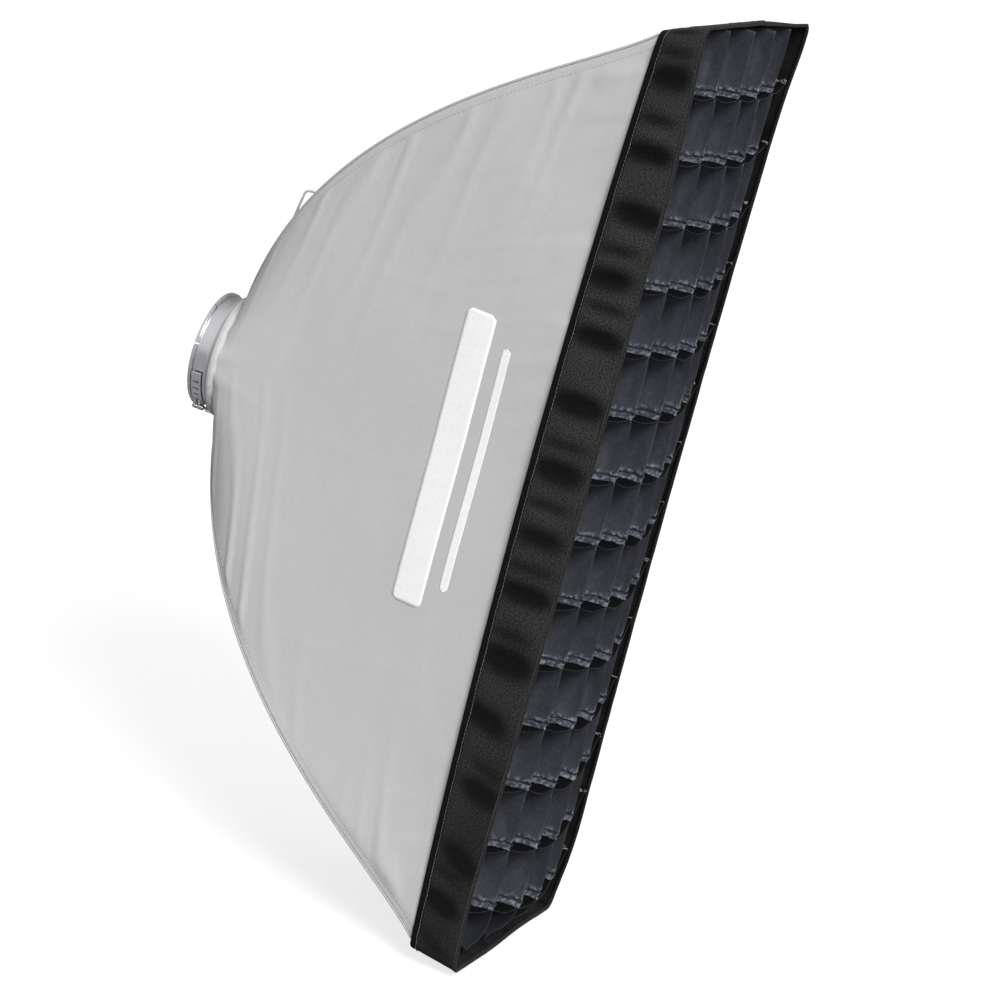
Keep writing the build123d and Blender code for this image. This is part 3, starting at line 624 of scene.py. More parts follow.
def wrapped_row(side, share, places, calm=1.0):
    """One row of a panel, carried round the rod at each end to the middle of the seam."""

    def wrap(corner, across, order):
        here, out = seam_frame(corner, share)
        arm = panel_point(side, share, across) - here
        turns = [step / WRAP_STEPS for step in order]
        return [here + (arm.normalized() * (1 - f) + out * f).normalized() * arm.length for f in turns]

    first, last, _ = SIDES[side]
    row = wrap(first, 0.0, range(WRAP_STEPS, 0, -1))
    for across in places:
        ripple = panel_ripple(side, share, across) * calm
        row.append(panel_point(side, share, across) + panel_normal(side, share, across) * ripple)
    return row + wrap(last, 1.0, range(1, WRAP_STEPS + 1))


def neck_rows(row):
    """Rows that carry a panel's first row onto the hub."""
    rings = []
    for depth, radius in NECK_PROFILE:
        ring = []
        for point in row:
            angle = math.atan2(point.z, point.x)
            r = radius + 0.25 * math.sin(angle * 31)
            ring.append(Vector((r * math.cos(angle), -depth, r * math.sin(angle))))
        rings.append(ring)
    return rings + [[a.lerp(b, 0.5) for a, b in zip(rings[-1], row)]]


def shell_panel(side, rows, skip=None):
    facing = 1.0 if side in ("right", "top") else -1.0
    Sheet(rows, skip=skip).finish("shell_" + side, SHELL, "softbox", thickness=SHELL_CLOTH, offset=facing,
                                  replaces="panel_" + side, slot="shell_fabric")


def long_panel(side):
    shares = [PANEL_START + (1 - PANEL_START) * f ** 1.3 for f in steps(119)]
    rows = [wrapped_row(side, share, steps(170)) for share in shares]
    shell_panel(side, neck_rows(rows[0]) + rows)


def across_at_x(side, share, x):
    start = panel_point(side, share, 0.0).x
    return (x - start) / (panel_point(side, share, 1.0).x - start)


def short_panel(side):
    """The narrow panel at the top or bottom. The top one has an opening under the flap."""
    low, high = share_at_height(FLAP_LOW), share_at_height(FLAP_HIGH)
    before, inside, after = steps(26, PANEL_START, low)[:-1], steps(12, low, high)[:-1], steps(74, high, 1.0)
    left_columns, middle_columns, right_columns = 8, 22, 12
    rows = []
    for share in before + inside + after:
        held = max(low, min(high, share))
        left = across_at_x(side, held, FLAP_SLIT_EDGE)
        right = across_at_x(side, held, FLAP_HINGE_EDGE)
        places = steps(left_columns, 0.0, left)[:-1] + steps(middle_columns, left, right)[:-1]
        places += steps(right_columns, right, 1.0)
        # The top panel lies flat beside its opening.
        from_opening = max(0.0, abs(share - (low + high) / 2) - (high - low) / 2)
        rows.append(wrapped_row(side, share, places, smooth(from_opening / 0.02) if side == "top" else 1.0))
    neck = neck_rows(rows[0])
    first = len(neck) + len(before)
    left_edge = WRAP_STEPS + left_columns

    def opening(i, j):
        return first <= i < first + len(inside) and left_edge <= j < left_edge + middle_columns

    shell_panel(side, neck + rows, opening if side == "top" else None)


def flap_point(share, x, raise_by):
    across = across_at_x("top", share, x)
    return panel_point("top", share, across) + panel_normal("top", share, across) * raise_by


def cord_height(fraction):
    """A long bow that stands highest near its upper end, where it turns down steeply."""
    fraction = max(0.0, min(1.0, fraction))
    if fraction < CORD_PEAK:
        return (fraction / CORD_PEAK) ** 1.2
    return smooth((1 - fraction) / (1 - CORD_PEAK))


def access_flap():
    """The sewn flap over the opening. Its free edge stands a little open, and a cord stands off it."""
    low, high = share_at_height(FLAP_LOW + FLAP_PLAY), share_at_height(FLAP_HIGH - FLAP_PLAY)
    columns = steps(24)
    width = FLAP_HINGE_EDGE - 1.2 - FLAP_FREE_EDGE
    rows = []
    for up in steps(16):
        share = low + (high - low) * up
        opens = [0.4 + 3.4 * (1 - f) ** 1.5 * math.sin(math.pi * up) for f in columns]
        rows.append([flap_point(share, FLAP_FREE_EDGE + width * f, by) for f, by in zip(columns, opens)])
    Sheet(rows).finish("shell_flap", SHELL, "flap", thickness=SHELL_CLOTH, offset=1.0, replaces="access_flap",
                       slot="shell_fabric")
    lift = panel_normal("top", (low + high) / 2, 0.5)
    hem = Sheet()
    for edge in (rows[0][:-2], rows[-1][:-2]):
        hem.add(tube_rows(edge, 0.9, 8, 0.8, lift), closed=True)
    cord = []
    for f in steps(48):
        stand = (cord_height(f - 0.05) + cord_height(f) + cord_height(f + 0.05)) / 3
        share = share_at_height(CORD_LOW + (CORD_HIGH - CORD_LOW) * f)
        cord.append(flap_point(share, FLAP_FREE_EDGE + 3 * (1 - stand), 0.6 + CORD_STAND_OFF * stand))
    hem.add(tube_rows(cord, 1.3, 8, 1.0, lift), closed=True)
    hem.finish("flap_edge_tape", SHELL_SEAM, "flap", slot="shell_fabric")
    under = Sheet([[p - lift * 0.5 for p in row[1:-1]] for row in rows[1:-1]])
    under.finish("flap_silver_face", SILVER, "flap", thickness=0.3, offset=-1.0, slot="silver_fabric")


def opening_tape():
    """Narrow tape round the edge of the opening in the top panel."""
    low, high = share_at_height(FLAP_LOW), share_at_height(FLAP_HIGH)
    path = [flap_point(share, FLAP_SLIT_EDGE, 0.5) for share in steps(16, low, high)[:-1]]
    path += [flap_point(high, x, 0.5) for x in steps(22, FLAP_SLIT_EDGE, FLAP_HINGE_EDGE)[:-1]]
    path += [flap_point(share, FLAP_HINGE_EDGE, 0.5) for share in steps(16, high, low)[:-1]]
    path += [flap_point(low, x, 0.5) for x in steps(22, FLAP_HINGE_EDGE, FLAP_SLIT_EDGE)[:-1]]
    lift = panel_normal("top", (low + high) / 2, 0.5)
    edge = Sheet(tube_rows(path + path[:1], 1.1, 8, 0.8, lift))
    edge.finish("opening_edge_tape", SHELL_SEAM, "softbox", slot="shell_fabric")


def seams():
    """Rolled seams over the rods, with a stitched row on each side."""
    for corner, name in CORNER_NAMES.items():
        frames = [seam_frame(corner, 0.008 + 0.990 * f) for f in steps(89)]
        path = [here + out * 5.9 for here, out in frames]
        seam = Sheet(tube_rows(path, 1.5, 12, 0.6, [out for _, out in frames]), closed=True)
        seam.finish("seam_" + name, SHELL_SEAM, "softbox", slot="shell_fabric")
    stitches = Sheet()
    for side in SIDES:
        for at_last in (False, True):
            run = []
            for f in steps(109):
                share = 0.03 + 0.96 * f
                inset = 5.5 / panel_width(side, share)
                run.append(on_panel(side, share, 1 - inset if at_last else inset, 0.1))
            points, normals = zip(*run)
            stitch_run(stitches, list(points), normals, 3.2, 1.5, 0.6, 0.3)
    stitches.finish("shell_stitches", SHELL_THREAD, "softbox", slot="shell_fabric")


def rod_sleeves():
    """Sewn tubes that hold the rods, and cups for the rods' tips."""
    sleeves, cups = Sheet(), Sheet()
    for corner in CORNER_NAMES:
        outward = Vector((corner[0], 0, 0))
        path = [rod_point(corner, 0.026 + 0.889 * f) for f in steps(60)]
        rows = tube_rows(path, 4.5, 16, 1.0, outward.lerp(REAR, 0.3))
        for i, row in enumerate(rows):
            for k, point in enumerate(row):
                away = (point - path[i]).normalized()
                row[k] = point + away * (0.15 * wobble(i * 0.4, k * 0.8, corner[0] + 2 * corner[1]))
        sleeves.add(rows, closed=True)
        here, tangent = rod_point(corner, 0.955), rod_tangent(corner, 0.955)
        path = [here + tangent * d for d in (-10.5, -8, -4, 0, 2.5, 3.8, 4.3)]
        cups.add(tube_rows(path, [4.3, 4.4, 4.4, 4.4, 4.2, 3.0, 0.6], 20, 1.0, outward), closed=True)
    sleeves.finish("rod_sleeve_tubes", SHELL, "softbox", thickness=0.7, offset=-1.0, replaces="rod_sleeves",
                   slot="shell_fabric")
    cups.finish("corner_pocket_cups", BINDING, "softbox", thickness=0.5, offset=-1.0,
                replaces="corner_pockets", slot="binding_tape")


def neck():
    """The gathered cloth collar that grips the hub, and its stitched edge."""
    rows = []
    for depth, radius in COLLAR_PROFILE:
        row = []
        for angle in steps(160, 0.0, 2 * math.pi)[:-1]:
            gather = math.sin(angle * 31 + 2.5 * wobble(math.cos(angle) * 3, math.sin(angle) * 3, 0.3))
            r = radius + 0.12 * gather
            row.append(Vector((r * math.cos(angle), -depth, r * math.sin(angle))))
        rows.append(row)
    Sheet(rows, closed=True).finish("neck_cloth", SHELL_SEAM, "softbox", thickness=0.4, offset=-1.0,
                                    replaces="neck_collar", slot="shell_fabric")
    stitches = Sheet()
    points, normals = [], []
    for angle in steps(240, 0.0, 2 * math.pi):
        x, z = math.cos(angle), math.sin(angle)
        points.append(Vector((62.5 * x, -25.0, 62.5 * z)))
        normals.append(Vector((x, 0, z)))
    stitch_run(stitches, points, normals, 2.8, 1.4, 0.5, 0.3)
    stitches.finish("neck_stitches", SHELL_THREAD, "softbox", slot="shell_fabric")


def linings():
    """Silver cloth just inside each panel."""
    low, high = share_at_height(FLAP_LOW - 2), share_at_height(FLAP_HIGH + 2)
    for side in SIDES:
        shares = steps(71, 0.05, 0.96)
        if side == "top":
            shares = sorted(shares + [low, high])
        columns = 60 if side in LONG_SIDES else 24
        rows = []
        for share in shares:
            trim = 9.0 / panel_width(side, share)
            row = []
            for j in range(columns + 1):
                across = trim + (1 - 2 * trim) * j / columns
                p = panel_point(side, share, across) * MM
                crinkle_and_highlight = 0.5 * wobble(p.x * 22, p.y * 22, p.z * 22, 6.0)
                row.append(on_panel(side, share, across, crinkle_and_highlight - 2.8)[0])
            rows.append(row)

        def opening(i, j):
            middle = (rows[i][j] + rows[i + 1][j + 1]) / 2
            inside = low <= (shares[i] + shares[i + 1]) / 2 <= high
            return inside and FLAP_SLIT_EDGE - 2 < middle.x < FLAP_HINGE_EDGE + 2

        facing = 1.0 if side in ("right", "top") else -1.0
        sheet = Sheet(rows, skip=opening if side == "top" else None)
        sheet.finish("silver_" + side, SILVER, "softbox", thickness=0.5, offset=facing,
                     replaces="lining_" + side, slot="silver_fabric")


def printed_bars():
    """Plain bars with rounded ends, where such a box carries its print."""
    sheet = Sheet()
    for depth, width, low, high in PRINT_BARS:
        radius = min(PRINT_CORNER, width / 2)
        rows = []
        for height in steps(80, low, high):
            short_by = max(0.0, radius - min(height - low, high - height))
            inset = radius - math.sqrt(max(0.0, radius**2 - short_by**2))
            row = []
            for d in steps(10, depth - width / 2 + inset, depth + width / 2 - inset):
                share = share_at_depth(d)
                across = 0.5 - 0.5 * height / panel_point("left", share, 0.0).z
                row.append(on_panel("left", share, across, 0.22)[0])
            rows.append(row)
        sheet.add(rows)
    sheet.finish("plain_printed_bars", PRINT, "softbox", thickness=0.12, slot="shell_fabric")


# ------------------------------------------------------------------ front hem and diffusers

TAPE_CORNER = 6.0
DIFFUSER_HALF_WIDTH = 145.6
DIFFUSER_HALF_HEIGHT = 441.0
BAFFLE_HALF_WIDTH = 83.5
BAFFLE_HALF_HEIGHT = 285.5
CORNER_STEPS = 8


def frame_outline(half_width, half_height, corner, long_steps, short_steps):
    """(x, z, outward x, outward z) round a rounded rectangle, from the lower left, upwards."""
    w, h = half_width - corner, half_height - corner
    legs = [
        ((-half_width, -h), (-half_width, h), long_steps, (-w, h), 180),
        ((-w, half_height), (w, half_height), short_steps, (w, h), 90),
        ((half_width, h), (half_width, -h), long_steps, (w, -h), 0),
        ((w, -half_height), (-w, -half_height), short_steps, (-w, -h), -90),
    ]
    out = []
    for start, end, count, centre, facing in legs:
        away = (round(math.cos(math.radians(facing))), round(math.sin(math.radians(facing))))
        for x, z in zip(steps(count, start[0], end[0])[:-1], steps(count, start[1], end[1])[:-1]):
            out.append((x, z, *away))
        for degrees in steps(CORNER_STEPS, facing, facing - 90)[:-1]:
            ax, az = math.cos(math.radians(degrees)), math.sin(math.radians(degrees))
            out.append((centre[0] + corner * ax, centre[1] + corner * az, ax, az))
    return out


def tape(name, body, axis, distance, half_length, count, depths, thickness, replaces=None):
    """A flat strip of tape that faces along an axis (0 for x, 2 for z), at that distance."""
    rows = []
    for depth in depths:
        row = []
        for along in steps(count, -half_length, half_length):
            point = Vector((along, -depth, along))
            point[axis] = distance
            row.append(point)
        rows.append(row)
    Sheet(rows).finish(name, PILE, body, thickness=thickness, replaces=replaces, slot="hook_tape")


def hem_and_tapes():
    outline = frame_outline(147.3, 442.8, TAPE_CORNER, 140, 46)
    rows = []
    for depth in steps(6, 404.5, 424.0):
        row = []
        for x, z, ax, az in outline:
            push = 0.25 * wobble(x * 0.02, depth * 0.05, z * 0.02, 8.0)
            row.append(Vector((x + ax * push, -depth, z + az * push)))
        rows.append(row)
    Sheet(rows, closed=True).finish("front_hem_cloth", SHELL, "softbox", thickness=SHELL_CLOTH, offset=1.0,
                                    replaces="front_hem", slot="shell_fabric")
    depths = steps(4, 408.5, 422.0)
    tape("loop_tape_left", "softbox", 0, -147.75, 434.0, 150, depths, 0.55, "hem_loop_tape")
    tape("loop_tape_right", "softbox", 0, 147.75, 434.0, 150, depths, 0.55)
    tape("loop_tape_top", "softbox", 2, 443.25, 138.0, 60, depths, 0.55)
    tape("loop_tape_bottom", "softbox", 2, -443.25, 138.0, 60, depths, 0.55)


def front_diffuser():
    """Taut cloth that sags a little, with a border of hook tape and a pull tab."""
    half_width, half_height = DIFFUSER_HALF_WIDTH, DIFFUSER_HALF_HEIGHT
    rows = []
    for z in steps(90, -half_height, half_height):
        row = []
        for x in steps(40, -half_width, half_width):
            inside = (1 - (x / half_width) ** 2) * (1 - (z / half_height) ** 4)
            belly = inside * (1.2 * wobble(x * 0.02, z * 0.02, 0.0, 9.0) - 5.0)
            row.append(Vector((x, -(407.4 + belly), z)))
        rows.append(row)
    Sheet(rows).finish("front_diffuser_cloth", DIFFUSER, "diffuser", thickness=0.5, replaces="front_diffuser",
                       slot="diffuser_fabric")
    rows = []
    for inset in steps(4, 0.0, 19.0):
        depth = 408.3 if 0 < inset < 19.0 else 408.15
        w, h = half_width - inset, half_height - inset
        outline = frame_outline(half_width, half_height, TAPE_CORNER, 120, 40)
        rows.append([Vector((max(-w, min(w, x)), -depth, max(-h, min(h, z)))) for x, z, _, _ in outline])
    Sheet(rows, closed=True).finish("diffuser_hook_border", PILE, "diffuser", thickness=0.7,
                                    replaces="diffuser_border", slot="hook_tape")
    rows = []
    for up in steps(8):
        curl = 0.5 * math.sin(math.pi * up)
        rows.append([Vector((x, -409.6 - curl, -433.5 + 33 * up)) for x in steps(8, 90.5, 109.5)])
    Sheet(rows).finish("diffuser_tab_web", BINDING, "diffuser", thickness=0.7, replaces="diffuser_pull_tab",
                       slot="binding_tape")


def inner_baffle():
    """A smaller sheet hung from the rods on elastic straps."""
    rows = []
    for up in steps(60, -1.0, 1.0):
        row = []
        for across in steps(24, -1.0, 1.0):
            x, z = BAFFLE_HALF_WIDTH * across, BAFFLE_HALF_HEIGHT * up
            sag = 2.0 * (1 - across**2) * (1 - up**2) + 0.8 * wobble(x * 0.03, z * 0.03, 0.0, 10.0)
            pull = 2.5 * (1 - abs(across) ** 3) * abs(up) ** 6
            row.append(Vector((x * (1 - 0.03 * (1 - up**2)), -(250.4 + sag), z - math.copysign(pull, z))))
        rows.append(row)
    Sheet(rows).finish("inner_baffle_cloth", DIFFUSER, "softbox", thickness=0.6, replaces="inner_baffle",
                       slot="diffuser_fabric")
    straps = Sheet()
    for corner in CORNER_NAMES:
        start = Vector((corner[0] * 74.0, -250.0, corner[1] * 276.0))
        rod = rod_point(corner, share_at_depth(250.0))
        direction = (rod - start).normalized()
        side = direction.cross(REAR).normalized()
        rows = []
        for f in steps(24):
            centre = start.lerp(rod - direction * 5.6, f) + REAR * (0.6 + 0.18 * math.sin(f * 70))
            half = 6.0 - 0.5 * math.sin(math.pi * f)
            rows.append([centre + side * off for off in steps(6, -half, half)])
        straps.add(rows)
    straps.finish("baffle_strap_webs", ELASTIC, "softbox", thickness=0.8, replaces="baffle_straps",
                  slot="elastic")


# ------------------------------------------------------------------ soft grid: skirt

GRID_FRONT = 446.0
SKIRT_CORNER_REAR = 401.0
SKIRT_BOW = 11.0
SKIRT_HALF_WIDTH = 149.9
SKIRT_REAR_HALF_HEIGHT = 445.4
SKIRT_FRONT_HALF_HEIGHT = 459.4
SKIRT_CLOTH = 1.0
SKIRT_CORNER = 10.0
SKIRT_STEPS = 22
ROWS = 15
COLUMNS = 5
ROW_PITCH = 2 * SKIRT_FRONT_HALF_HEIGHT / ROWS
COLUMN_PITCH = 2 * (SKIRT_HALF_WIDTH - SKIRT_CLOTH) / COLUMNS
SKIRT_REAR_OUTLINE = frame_outline(SKIRT_HALF_WIDTH, SKIRT_REAR_HALF_HEIGHT, SKIRT_CORNER, 190, 60)
SKIRT_FRONT_OUTLINE = frame_outline(SKIRT_HALF_WIDTH, SKIRT_FRONT_HALF_HEIGHT, SKIRT_CORNER, 190, 60)
# A binding's section: (share of its width in from the edge, how far it stands out from the skirt).
BINDING_PROFILE = [(1.0, 0.15), (0.98, 1.0), (0.88, 1.35), (0.7, 1.1), (0.62, 1.0), (0.5, 1.25),
                   (0.25, 1.5), (0.06, 1.35), (-0.06, 0.7), (-0.10, -0.3), (-0.04, -1.3), (0.2, -1.75),
                   (0.9, -1.7), (1.0, -1.2)]
# How much further the rear binding folds in along the bottom, where it reaches the hem.
BOTTOM_FOLD = 6.8


def skirt_rear_depth(x, z):
    """The rear edge bows back between the corners."""
    if abs(z) > SKIRT_REAR_HALF_HEIGHT - SKIRT_CORNER - 0.5:
        return SKIRT_CORNER_REAR - 3.0 * (1 - min(1.0, abs(x) / SKIRT_HALF_WIDTH) ** 2)
    return SKIRT_CORNER_REAR - SKIRT_BOW * (1 - (z / SKIRT_REAR_HALF_HEIGHT) ** 2)


def skirt_valley(x, z, ax, az, across):
    """1 in the middle of a soft slanted valley where the grid's rows pull on the canvas, 0 between."""
    along, pitch, count = (z, ROW_PITCH, ROWS) if abs(ax) > abs(az) else (x, COLUMN_PITCH, COLUMNS)
    valley = 0.0
    for k in range(count + 1):
        seed = k + (7 if ax > 0 else 0) + (31 if az > 0 else 0)
        place = pitch * (k - count / 2) + 15 * (random_at(seed, 1.7) - 0.5)
        slant = 10 * (across - 0.5) + 6 * math.cos(math.pi * across) * (random_at(seed, 6.6) - 0.3)
        off = along - place + slant
        wide = (9.0 if off > 0 else 11.0) + 4.0 * random_at(seed, 4.2)
        centre = 0.35 + 0.3 * random_at(seed, 12.4)
        reach = 1 - 0.75 * smooth((abs(across - centre) - 0.12) / 0.45)
        valley = max(valley, (0.75 + 0.4 * random_at(seed, 9.3)) * reach * bell(off, wide))
        # Some rows pull a second, shorter crease beside the first.
        if random_at(seed, 15.1) > 0.45:
            valley = max(valley, 0.55 * reach * bell(off - 22 - 10 * random_at(seed, 16.2), 7.0))
    return min(1.0, valley)


# Painted light for the canvas: painted shade in the valleys and growing towards the bottom, painted highlight
# on the ridges between.
def skirt_painted_light(x, z, ax, az, across):
    lit = 0.60 + 0.38 * smooth((z + 460) / 600) + 0.20 * wobble(x * 0.03, z * 0.03, across * 2, 30.0)
    valley = smooth(1.25 * skirt_valley(x, z, ax, az, across))
    return max(0.0, min(1.0, 0.74 * lit * (1 - 0.95 * valley)))


def corner_pull(x, z, f):
    """How the soft front of the grid is pulled out of true: forward and up, in millimetres."""
    near = smooth((-x + 150) / 300)
    top, bottom = bell(z - 459, 60.0), bell(z + 459, 45.0)
    middle = 1 - (z / 459.0) ** 2 if abs(z) < 459 else 0.0
    forward = near * (-2.0 * top + 4.0 * bottom + middle * (3.8 + 4.5 * bell(z - 330, 90.0)))
    forward += (1 - near) * (4.1 * top - 7.1 * bottom - 3.5 * middle)
    up = near * (1.0 * top + 0.5 * bottom) + (1 - near) * (-3.0 * top - 3.9 * bottom)
    return forward * f, up * f


def skirt_swell(x, z, ax, az, depth, across):
    """How far the canvas stands out from the straight line between its edges."""
    long_side = abs(ax) > abs(az)
    stand = arch(min(1.0, 0.04 + across * 0.94)) ** 0.6
    swell = (5.2 if long_side else 1.2) * (1 - skirt_valley(x, z, ax, az, across)) * stand
    swell += 0.5 * wobble(x * 0.012, depth * 0.03, z * 0.012, 11.0)
    swell += 0.3 * wobble(x * 0.05, depth * 0.06, z * 0.05, 12.0)
    up, over = z / SKIRT_FRONT_HALF_HEIGHT, x / SKIRT_HALF_WIDTH
    if abs(ax) > 0.5:
        # The long sides' front edges draw in a little, mostly in the upper half.
        held = smooth((SKIRT_FRONT_HALF_HEIGHT - abs(z)) / 26.0)
        swell *= held * smooth((across + 0.02) / 0.2)
        return swell - 2.2 * across * (1 - up**2) * (1 + 0.4 * up)
    held = smooth((SKIRT_HALF_WIDTH - abs(x)) / 20.0)
    swell *= held * smooth((across + 0.02) / 0.2)
    wave = 0.8 * across * math.sin(x * 0.03 + (1.0 if az > 0 else 2.5))
    if az > 0:
        wave += 2.2 * across - 0.7 * (1 - across)
    return swell + wave * (1 - over**2)


def skirt_point(k, across, push=0.0):
    """A point of the skirt: k steps round, across from rear edge (0) to front edge (1)."""
    rear, front = SKIRT_REAR_OUTLINE[k], SKIRT_FRONT_OUTLINE[k]
    ax, az = rear[2:]
    rear_depth = skirt_rear_depth(rear[0], rear[1])
    depth = rear_depth + (GRID_FRONT - rear_depth) * across
    f = max(0.0, (depth - SKIRT_CORNER_REAR) / (GRID_FRONT - SKIRT_CORNER_REAR))
    x = rear[0] + (front[0] - rear[0]) * f
    z = rear[1] + (front[1] - rear[1]) * f
    out = skirt_swell(x, z, ax, az, depth, across) + push
    forward, up = corner_pull(x, z, smooth(f))
    # The bottom's rear edge hangs lower than the hem.
    low = smooth((20 - z - SKIRT_REAR_HALF_HEIGHT) / 14)
    return Vector((x + ax * out, -(depth + forward), z + up - 5.5 * (1 - f) * low + az * out))


def across_skirt(k, from_rear, inset):
    """The place across the skirt that lies inset from its rear or front edge."""
    rear = SKIRT_REAR_OUTLINE[k]
    width = GRID_FRONT - skirt_rear_depth(rear[0], rear[1])
    return inset / width if from_rear else 1 - inset / width


def skirt():
    around = range(len(SKIRT_REAR_OUTLINE))
    rows = [[skirt_point(k, across) for k in around] for across in steps(SKIRT_STEPS)]
    painted_light = [skirt_painted_light(*point, across) for across in steps(SKIRT_STEPS) for point in SKIRT_REAR_OUTLINE]
    Sheet(rows, closed=True).finish("grid_skirt_cloth", SKIRT, "grid", thickness=SKIRT_CLOTH, offset=-1.0,
                                    replaces="grid_skirt", slot="skirt_fabric", painted_light=painted_light)
    edge_binding("rear_edge_binding", True, 7.5, "skirt_rear_binding", BINDING)
    edge_binding("front_edge_binding", False, 3.0, "skirt_front_binding", SKIRT_EDGE)
    edge_stitches("skirt_rear_stitches", True, 6.4, 1.45, SKIRT_THREAD)
    edge_stitches("skirt_front_stitches", False, 1.9, 1.05, FAINT_THREAD)


def edge_stitches(name, from_rear, inset, stand_off, material):
    sheet = Sheet()
    around = list(range(len(SKIRT_REAR_OUTLINE))) + [0]
    points = [skirt_point(k, across_skirt(k, from_rear, inset), stand_off) for k in around]
    normals = [Vector((SKIRT_REAR_OUTLINE[k][2], 0, SKIRT_REAR_OUTLINE[k][3])) for k in around]
    stitch_run(sheet, points, normals, 3.9, 0.15, 0.75, 0.45, wander=0.3)
    sheet.finish(name, material, "grid", slot="binding_tape")


def edge_binding(name, from_rear, tape_width, node, material):
    """Cloth tape folded over one edge of the skirt."""
    rows = []
    for f, push in BINDING_PROFILE:
        row = []
        for k, outline in enumerate(SKIRT_REAR_OUTLINE):
            out = push + 0.18 * wobble(k * 0.35, f * 2, 0.0, 13.0)
            if from_rear and push < -1.0 and outline[3] < 0:
                out -= BOTTOM_FOLD * smooth((-outline[3] - 0.2) / 0.7)
            row.append(skirt_point(k, across_skirt(k, from_rear, f * tape_width), out))
        rows.append(row)
    Sheet(rows, closed=True).finish(name, material, "grid", thickness=0.25, replaces=node,
                                    slot="binding_tape")


def hook_tapes():
    depths = steps(4, 407.5, 423.0)
    tape("hook_tape_left", "grid", 0, -148.55, 429.0, 150, depths, 0.5, "grid_hook_tape")
    tape("hook_tape_right", "grid", 0, 148.55, 429.0, 150, depths, 0.5)


# ------------------------------------------------------------------ soft grid: walls

WALL_REAR = 410.5
WALL_COLUMNS = 26
HEM_ROWS = 12
WALL_ROWS = HEM_ROWS + 14
HEM_HEIGHT = 10.5
STITCH_HEIGHT = 5.0


def grid_swell(x, z):
    """How far the grid's front edges stand in front of the skirt's front edge."""
    side = max(0.0, 1 - (x / 152.0) ** 2) ** 1.6
    end = max(0.0, 1 - (abs(z) / (470.0 if z > 0 else 600.0)) ** 3)
    return 21.0 * side * (0.35 + 0.65 * end) - 2.0


def strip_height(k, x, depth):
    """Height of cross strip k at x: it hangs between the skirt and the long walls."""
    hang = 7.0 + 1.05 * (ROWS - 1 - k)
    sag = hang * (1 - (x / SKIRT_HALF_WIDTH) ** 2) * (1 + 0.55 * x / SKIRT_HALF_WIDTH)
    cell = (x + SKIRT_HALF_WIDTH) / COLUMN_PITCH
    scallop = (1.2 + 2.6 * random_at(k, math.floor(cell), 2.2)) * abs(math.sin(math.pi * cell)) ** 1.3
    back = 1 - smooth((depth - WALL_REAR - 8) / 36.0)
    return ROW_PITCH * (k - ROWS / 2) - sag - scallop * (1 - 0.6 * back) - 4.5 * back


def cross_walls():
    """The strips that lie across the long side, one under each row of cells."""
    sheet, edges = Sheet(), Sheet()
    for k in range(1, ROWS):
        rows = []
        for f in steps(12):
            row = []
            half = 145.8 if f < 0.25 else 148.4
            for x in steps(75, -half, half):
                front = GRID_FRONT - 1.6 + grid_swell(x, ROW_PITCH * (k - ROWS / 2))
                depth = WALL_REAR + (front - WALL_REAR) * f
                z = strip_height(k, x, depth) + 0.7 * f * wobble(x * 0.045, k * 3.3, f * 1.5, 14.0)
                z += 0.35 * f * wobble(x * 0.14, k * 5.1, f * 3, 15.0)
                forward, up = corner_pull(x, z, smooth(f))
                row.append(Vector((x, -(depth + forward * 0.8), z + up)))
            rows.append(row)
        sheet.add(rows, uv_offset=(0.0, 0.1 * k))
        edges.add(tube_rows(rows[-1], 0.45, 6, 0.8, UP), closed=True)
    # The cross strips take the painted-shade copy of the satin.
    sheet.finish("grid_cross_walls", GRID_SHADE, "grid", thickness=0.6, replaces="grid_cross_strips",
                 slot="grid_fabric")
    edges.finish("grid_cross_edges", STRIP_EDGE, "grid", slot="grid_fabric")


def wall_ends(cell, x_wall, depth):
    """Heights of a cell's wall where it meets the strip or skirt below and above."""
    to_rear = 1 - smooth((depth - 401) / 45)
    low = strip_height(cell, x_wall, depth) + 0.8 if cell else 8.0 - SKIRT_FRONT_HALF_HEIGHT + 13.0 * to_rear
    if cell + 1 == ROWS:
        return low, SKIRT_FRONT_HALF_HEIGHT - 2.6 - 14.0 * to_rear
    return low, strip_height(cell + 1, x_wall, depth) - 0.6


def hem_crumple(up, depth, seed):
    """Across-push, painted highlight and height change of a wall's doubled hem.

    The hem is a flared band, a stitched groove and puckers above it. The painted highlight runs along its
    lower edge, over the band and on the puckers, and is taken out of the groove.
    """
    pucker = ridge(depth * 0.17, up * 0.10, seed * 2.3, 17.0)
    fine = ridge(depth * 0.40, up * 0.25, seed * 1.3, 18.0)
    fade = 1 - smooth((up - HEM_HEIGHT + 2) / 3.0)
    groove = bell(up - STITCH_HEIGHT - 0.9 * wobble(depth * 0.22, seed * 1.1, 0, 24.0), 0.8)
    band = max(0.0, 1 - up / STITCH_HEIGHT)
    above = fade * smooth((up - STITCH_HEIGHT) / 1.2)
    push = 3.4 * band + 0.7 * band * fine + above * (2.1 * pucker + 1.1 * fine) - 1.4 * groove
    # Painted highlight on the hem's lower edge, band and puckers, less in the groove.
    wear_and_highlight = 0.4 * bell(up, 0.9) + smooth(band * 2.2) * (0.35 + 0.65 * fine)
    wear_and_highlight += fade * bell(up - 7.2, 1.8) * (0.2 + 1.1 * pucker)
    painted_light = max(0.0, min(1.0, 0.06 + wear_and_highlight - 0.6 * groove))
    return push, painted_light, fade


